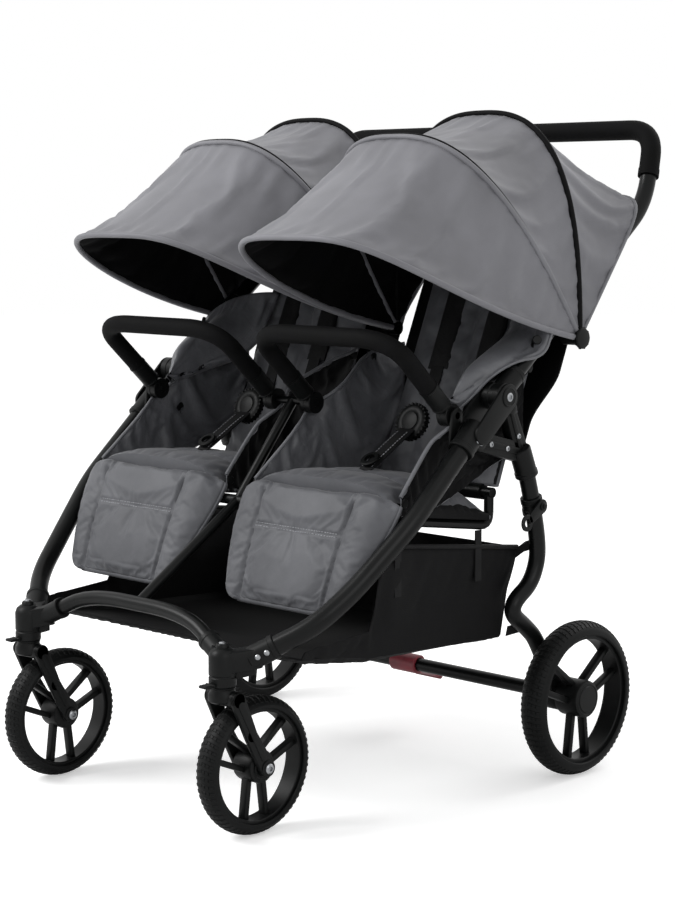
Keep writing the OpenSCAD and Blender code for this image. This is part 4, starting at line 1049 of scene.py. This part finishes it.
low, high = bars["ends"]
foamLine = roundPath([barFoot(high, bars["foamFrom"]), barFoot(high, bars["reach"]), barFoot(low, bars["reach"]),
                      barFoot(low, bars["foamFrom"])], bars["corner"], 16)
makePair("barFoam", tube(foamLine, bars["foam"], 8), "bar_{side}", foam, "bumper_bar_{side}")
caps, sockets, length = bmesh.new(), bmesh.new(), bars["cap"]
for x in bars["ends"]:
    absorb(caps, lathe([(8.3, 0), (14, 0), (15, 1), (15, 3), (14.4, 3.6), (14.4, length - 3), (15, length - 2.4),
                        (15, length), (8.3, length), (8.3, 0)], barRun, barFoot(x, bars["capFrom"])))
    absorb(sockets, lathe(bothWays([(6.3, -10), (16, -10), (17, -9), (17, -3), (16.4, -2.4)], True), xAxis,
                          (x, *joints["barPin"])),
           rod(*(barFoot(x, distance) for distance in bars["peg"]), bars["pegRadius"]))
makePair("barCaps", caps, "bar_{side}", nylon)
makePair("barSockets", sockets, "bar_tilt_{side}", nylon, "bar_sockets_{side}")
print("bumper bars done")

# basket: cloth tub with a shallow front tray; its upper and lower outline as (y, z)

basket = {"half": 294, "top": [(150, 361), (-155, 398), (-180, 278), (-314, 268), (-322, 257)],
          "low": [(150, 361), (121, 222), (-180, 236), (-322, 257)], "thick": 2.4, "rows": 72, "rim": 3.6,
          "cloth": {"mass": 0.2, "tension": 15, "bending": 0.3, "slack": 0.015, "weight": 0.8, "pressure": 0,
                    "frames": 20, "cap": 8}}
basketRun = evenly([Vector((0, *p)) for p in basket["low"]], basket["rows"] + 1)


def rimZ(y):
    for (y0, z0), (y1, z1) in zip(basket["top"], basket["top"][1:]):
        if min(y0, y1) - 1e-6 <= y <= max(y0, y1) + 1e-6:
            return between(z0, z1, (y - y0) / (y1 - y0))
    return basket["top"][-1][1]


def trayPoint(u, v):
    spot = basketRun[round(v * basket["rows"])]
    return Vector((between(-basket["half"], basket["half"], u), spot.y, spot.z))


def wallPoint(u, v):
    spot = basketRun[round(u * basket["rows"])]
    return Vector((basket["half"], spot.y, between(spot.z, max(spot.z, rimZ(spot.y)), v)))


tub, _ = sheetGrid(80, basket["rows"], trayPoint, (588, 610))
wall, _ = sheetGrid(basket["rows"], 14, wallPoint, (610, 150))
absorb(tub, reflect(wall.copy()), wall)
bmesh.ops.remove_doubles(tub, verts=tub.verts, dist=0.05)
bmesh.ops.recalc_face_normals(tub, faces=tub.faces)
faceAway(tub, (0, -60, 330))
tub.verts.index_update()
pins = [v.index for v in tub.verts if v.is_boundary]
tubPiece, tubArea = clothPiece("basketTub", tub, [basketCloth], 50, pins, basket)
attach(tubPiece, "chassis")
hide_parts("basket")
# rim cord, hanging straps at the sides and straps to the legs
rims = tube([Vector((basket["half"], y, rimZ(y))) for y in (148, 100, 40, -20, -80, -130, -154)], basket["rim"], 4)
for y in (-125.6, 54):
    line = [Vector((basket["half"] + 2, y, z)) for z in (320, 350, 380, railZ(y) - 8)]
    absorb(rims, ribbon(line, 14, (0, 1, 0), 2))
for root, tip in (((294, 148, 352), (317, 152, 366)), ((294, 124, 232), (318, 152, 236))):
    root, tip = Vector(root), Vector(tip)
    absorb(rims, ribbon([root, root.lerp(tip, 0.5) + Vector((0, 3, 3)), tip], 16, (0, 0.3, 1), 2))
makePair("basketRim", rims, "chassis", blackWeb)
print("basket done")

# front blocks: caster housing with two tube sockets, webs, a screw on top

caster = {"place": (220, -402, 0), "x": 220, "top": 283.2, "side": ((245, -367, 262), (0.655, 0.607, 0.4485)),
          "cross": ((196, -384, 262), (-0.8866, 0.165, 0.433)), "reach": 36,
          "profile": [(0, 223), (18, 223), (19.5, 224.5), (19.5, 236), (18.6, 237), (18.6, 239), (19.5, 240),
                      (19.5, 266), (17, 273), (12, 277), (9.4, 277.6), (9, 281), (7.6, 283.2), (0, 283.2)]}


def sleeve(root, run, start, end, radius, lip=1.0):
    # tube socket with a raised ring at its mouth
    profile = [(0, start), (radius - 1.5, start), (radius, start + 1.5), (radius, end - 8), (radius + lip, end - 7),
               (radius + lip, end - 1), (radius, end), (0, end)]
    return lathe(profile, run, root)


def screw(place, run, radius, height=2.4):
    # round head with a driver recess
    profile = [(0, 0), (radius, 0), (radius, height * 0.5), (radius * 0.72, height), (radius * 0.45, height),
               (radius * 0.4, height * 0.35), (0, height * 0.35)]
    return lathe(profile, run, place, 24)


front = lathe(caster["profile"], zAxis, caster["place"])
for (root, run), radius, foot in ((caster["side"], 17, 13.5), (caster["cross"], 15, 12)):
    below = (root[0], root[1], 0)
    absorb(front, sleeve(root, run, -6, caster["reach"], radius),
           hull([(caster["place"], 17.5, 243, 270), (below, foot, 248, 275)], zAxis, 3),
           hull([(caster["place"], 4, 229, 262), (below, 4, 238, 262)], zAxis, 1.5))
makePair("frontBlock", front, "chassis", nylon, "front_block_{side}")
sideRoot, sideRun = (Vector(v) for v in caster["side"])
off = sideRun.cross(zAxis).normalized()
frontScrews = screw((*caster["place"][:2], caster["top"]), zAxis, 5)
for along in (8, 22):
    absorb(frontScrews, screw(sideRoot + sideRun * along + off * 16.6, off, 4))
makePair("frontScrews", frontScrews, "chassis", steel)

# swivel locks: ribbed flap on a hinge barrel
lockFlap = joined(rod((212, -424.9, 227), (228, -424.9, 227), 3, 0.5),
                  block((16, 15, 4), Matrix.Translation((220, -432.4, 227)), 1.2))
for i in range(4):
    absorb(lockFlap, rod((213.5, -429 - 3 * i, 229), (226.5, -429 - 3 * i, 229), 0.8, 0.2, 12))
makePair("swivelLock", lockFlap, "lock_{side}", nylon, "swivel_lock_{side}")

# front forks: turned crown, two blades with raised ribs, axle bolts; discs as (y, z) and radius
forks = {"crown": ((-398, 206), 12), "knee": ((-374, 152), 10.5), "foot": (joints["frontAxle"], 13),
         "rib": (((-394, 198), 6), ((-352, 116), 5)), "inside": 22.4, "outside": 30.4,
         "profile": [(0, 200.6), (17, 200.6), (20, 203), (20, 213), (17.5, 217), (17.5, 220), (18.5, 221.2),
                     (18.5, 222.4), (0, 222.4)]}
x, bolts = caster["x"], bmesh.new()
fork = lathe(forks["profile"], zAxis, caster["place"])
absorb(fork, plate(x - forks["outside"], x + forks["outside"], 2, forks["crown"]))
for way in (-1, 1):
    skin = x + way * forks["outside"]
    near, far = sorted((x + way * forks["inside"], skin))
    absorb(fork, plate(near, far, 2, forks["crown"], forks["knee"]), plate(near, far, 2, forks["knee"], forks["foot"]),
           plate(skin - 1, skin + 1.2, 1, *forks["rib"]),
           lathe([(0, 0), (12, 0), (12, 1.2), (10.5, 2), (0, 2)], (way, 0, 0), (skin, *joints["frontAxle"])))
    absorb(bolts, screw((skin + way * 2, *joints["frontAxle"]), (way, 0, 0), 7.5, 3.4))
makePair("fork", fork, "caster_{side}", nylon, "fork_{side}")
makePair("forkBolts", bolts, "caster_{side}", steel)
print("front end done")

# wheels: spoked rims in three pairs, foamed tyres with a chevron tread

wheels = {"front": {"centre": (220, *joints["frontAxle"]), "radius": 100, "width": 40, "lugs": 62, "hub": 24,
                    "cap": 15},
          "rear": {"centre": (357.1, *joints["rearAxle"]), "radius": 121.5, "width": 45, "lugs": 74, "hub": 29.2,
                   "cap": 21}}


def makeTyre(wheel):
    # the crown's quads are skewed into chevrons, and every other one is raised as a lug
    big, half = wheel["radius"], wheel["width"] / 2
    low, arc = big - 1.1, 0.62 * wheel["width"]
    wall = [(big * 0.822, half - 1.5), (big * 0.835, half), (big * 0.88, half)]
    across = [half * (i / 3 - 1) * 0.86 for i in range(7)]
    crown = [(low - arc + math.sqrt(arc ** 2 - h ** 2), h) for h in reversed(across)]
    profile = wall + crown + [(r, -h) for r, h in reversed(wall)] + wall[:1]
    centre = Vector(wheel["centre"])
    bm = lathe(profile, xAxis, centre, wheel["lugs"] * 2)

    def skew(off):
        return 0.9 / wheel["lugs"] * math.pi * abs(off.x) / half

    for vert in bm.verts:
        off = vert.co - centre
        if math.hypot(off.y, off.z) > big * 0.885:
            vert.co = centre + Matrix.Rotation(skew(off), 3, "X") @ off
    lugs = []
    for face in bm.faces:
        off = face.calc_center_median() - centre
        if math.hypot(off.y, off.z) > big * 0.9 and abs(off.x) < half * 0.86:
            k = math.atan2(off.z, off.y) - skew(off)
            if math.floor(k / math.pi * wheel["lugs"] + 0.01) % 2 == 0:
                lugs.append(face)
    bmesh.ops.inset_individual(bm, faces=lugs, thickness=0.6, depth=1.0, use_even_offset=True)
    bmesh.ops.recalc_face_normals(bm, faces=bm.faces)
    return bm


def makeRim(wheel):
    big, half, hub, cap = wheel["radius"], wheel["width"] / 2, wheel["hub"], wheel["cap"]
    centre, flange = Vector(wheel["centre"]), 0.36 * wheel["width"]
    bm = lathe(bothWays([(big * 0.775, -flange + 1), (big * 0.785, -flange), (big * 0.835, -flange),
                         (big * 0.84, -flange + 1.5), (big * 0.818, -flange + 3)], True), xAxis, centre, 72)
    barrel = bothWays([(hub - 5, -half), (hub - 1, -half + 2), (hub, -half + 5)])
    cover = [(hub - 6, half - 0.8), (cap, half - 0.8), (cap - 1, half + 0.6), (0, half + 1.2)]
    absorb(bm, lathe([(0, -half)] + barrel + cover, xAxis, centre, 48))
    start = hub * 0.7
    length = big * 0.78 - start
    for k in range(3):
        for way in (-1, 1):
            place = (Matrix.Translation(centre) @ Matrix.Rotation(math.pi / 2, 4, "Y")
                     @ Matrix.Rotation(math.tau * k / 3, 4, "Z") @ Matrix.Translation((0, way * 11, 0))
                     @ Matrix.Rotation(way * math.radians(7), 4, "Z") @ Matrix.Translation((start + length / 2, 0, 0)))
            absorb(bm, block((length, 9, 14), place, 2.2))
    return bm


for end, wheel in wheels.items():
    body = f"{end}_wheel_{{side}}"
    makePair(f"{end}Tyre", makeTyre(wheel), body, (tyreFoam, "tyre_eva"), f"{end}_tyre_{{side}}", sharp=32)
    makePair(f"{end}Rim", makeRim(wheel), body, nylon, f"{end}_rim_{{side}}")
print("wheels done")

# folding hinges: sleeve and two cheeks below, knuckle and socket above, lugs for the leg and the bar

hinge, down, up = Vector((357, *joints["hinge"])), Vector((0, -0.7414, -0.6711)), Vector((0, *flap["run"]))


def onTube(distance):
    return (hinge + down * distance).yz


housing = sleeve(hinge, down, 62, 112, 18.6)
for near, far in ((334.6, 339.6), (374.4, 379.4)):
    absorb(housing, plate(near, far, 1.6, (joints["hinge"], 20), (onTube(74), 17)))
absorb(housing, plate(335, 343, 1.6, (joints["legPin"], 14), (onTube(76), 14)),
       plate(335, 340, 1.6, (joints["barPin"], 12), (onTube(100), 12)),
       rod((312, *joints["barPin"]), (340, *joints["barPin"]), 6),
       lathe([(0, 0), (15, 0), (15, 1.2), (13, 1.8), (12.4, 1.2), (0, 1.2)], xAxis, (379.2, *joints["hinge"])))
makePair("hingeHousing", housing, "chassis", nylon, "hinge_housing_{side}")
hingeScrews = joined(screw((380.2, *joints["hinge"]), xAxis, 6.5, 2),
                     screw(hinge + down * 88 + Vector((18.4, 0, 0)), xAxis, 4),
                     screw((343, *joints["legPin"]), xAxis, 7, 3))
makePair("hingeScrews", hingeScrews, "chassis", steel)

knuckles = lathe(bothWays([(0, -17), (18.5, -17), (20, -15.5), (20, -4), (19, -3)]), xAxis, hinge, 48)
absorb(knuckles, sleeve(hinge, up, 10, 52, 16.6, 0.8))
makeBoth("foldKnuckles", knuckles, "handle_frame", nylon, "fold_knuckles")

# leg joints: forked moulding from the leg pin to the leg's top and to the upper knob
legTop, belowTop = (Vector(spot) for spot in tubes["legLine"][:2])
joint = plate(316.8, 334.4, 2.5, (joints["legPin"], 15), (joints["legTop"], 15))
absorb(joint, plate(316.8, 334.4, 2.5, (joints["legTop"], 15), (joints["knob"], 12)),
       plate(330, 336, 1, (joints["legPin"], 5), ((104, 516), 5)),
       plate(330, 336, 1, ((106, 520), 5), ((82, 578), 4)),
       sleeve(legTop, (belowTop - legTop).normalized(), -8, 40, 17),
       lathe([(0, 0), (10, 0), (10, 3), (9, 5.4), (6, 6.4), (0, 6.8)], xAxis, (334, *joints["knob"])))
makeBoth("legJoints", joint, "rear_frame", nylon, "leg_joints")
jointScrews = joined(*(screw((335.6, y, z), xAxis, 4.2) for y, z in ((34, 533), (72, 523.5), (98, 540))))
makeBoth("jointScrews", jointScrews, "rear_frame", steel)


def clampRing(half, run, place):
    # ring round a tube with a groove about its middle
    profile = [(13.2, -half), (16, -half), (17, 1 - half), (17, 9 - half), (16, 10 - half)]
    return lathe(bothWays(profile, True), run, place)


# canopy clamps with ribbed hub knobs
clampAt = hinge + up * 179
clamp = clampRing(13, up, clampAt)
absorb(clamp, plate(351, 363, 2, ((clampAt + Vector((0, 7, -11))).yz, 8), (canopy["pivot"], 9)),
       lathe([(0, 349.5), (10, 349.5), (11, 350.5), (11, 380), (15, 380.5), (16, 382), (16, 385), (14.5, 387),
              (9, 388), (0, 388)], xAxis, (0, *canopy["pivot"])))
for i in range(10):
    turn, (y, z) = math.tau * i / 10, canopy["pivot"]
    spot = Vector((383.4, y + 15.6 * math.cos(turn), z + 15.6 * math.sin(turn)))
    absorb(clamp, rod(spot - xAxis * 2, spot + xAxis * 2, 1.6, 0.4, 10))
makeBoth("canopyClamps", clamp, "handle_frame", nylon, "canopy_clamps")
print("hinges done")

# brake: drum housings on the leg feet, ribbed burgundy pedal on the axle

footRun = (Vector(tubes["legLine"][8]) - Vector(tubes["legLine"][9])).normalized()
legFoot = Vector((315.6, *joints["rearAxle"]))
drum = lathe([(0, 299.8), (22, 299.8), (24, 302), (24, 309), (25, 310), (25, 330), (23.5, 332), (23.5, 334.4),
              (0, 334.4)], xAxis, (0, *joints["rearAxle"]), 48)
absorb(drum, sleeve(legFoot, footRun, 0, 46, 16.6),
       plate(303, 328, 2, (joints["rearAxle"], 22), ((legFoot + footRun * 26).yz, 14)))
makeBoth("brakeHousings", drum, "rear_frame", nylon, "brake_housings")

pedal = lathe(bothWays([(11.6, -28), (14.5, -28), (16, -26.5)], True), xAxis, (0, 0, 0), 44)
absorb(pedal, block((56, 50, 7), Matrix.Translation((0, 37, 0)), 1.8), rod((-28, 62, 0), (28, 62, 0), 5, 1.5, 24))
for x in (-18, 0, 18):
    absorb(pedal, lathe([(5, 3), (7.6, 3), (7.6, 4.4), (7, 5), (5.6, 5), (5, 4.4), (5, 3)], zAxis, (x, 38, 0), 28))
for y in (24, 52):
    absorb(pedal, rod((-25, y, 3.2), (25, y, 3.2), 1.4, 0.5, 14))
pedalTurn = Matrix.Translation((0, *joints["rearAxle"])) @ Matrix.Rotation(math.radians(-28), 4, "X")
bmesh.ops.transform(pedal, matrix=pedalTurn, verts=pedal.verts)
makePiece("brakePedal", pedal, "pedal", (redNylon, "red_nylon"), "brake_pedal")

# fold latch on the left leg: clamp with a pin, hook with an eye
latch = {"place": (327, 143.3, 430.2), "run": (-3, 26.6, -83.6), "eye": (0, -36, -22), "near": 344.6, "far": 348.2}
latchAt, near, far = Vector(latch["place"]), latch["near"], latch["far"]
latchClamp = clampRing(14, Vector(latch["run"]).normalized(), latchAt)
absorb(latchClamp, rod(latchAt + xAxis * 15, latchAt + xAxis * 26, 4))
makePiece("latchClamp", latchClamp, "rear_frame", nylon, "latch_clamp")
eye = latchAt + Vector(latch["eye"])
hook = plate(near, far, 1.2, (latchAt.yz, 11), (eye.lerp(latchAt, 0.3).yz, 8))
absorb(hook, lathe([(6.4, near), (12, near), (13, 345.4), (13, 347.4), (12, far), (6.4, far), (6.4, near)], xAxis,
                   (0, *eye.yz)),
       lathe([(0, 348), (6.5, 348), (6.5, 349.6), (5, 350.6), (0, 350.6)], xAxis, (0, *latchAt.yz)))
makePiece("latchHook", hook, "latch", nylon, "latch_hook")
print("brake and latch done")

# CAD nodes whose shape stays, with their finishes

for name in ("seat_frame", "recline_frame_left", "recline_frame_right", "back_bar", "canopy_post", "rear_axle",
             "fold_pins"):
    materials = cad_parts[name].data.materials
    materials.clear()
    materials.append(zincSteel if name == "fold_pins" else satinPaint)
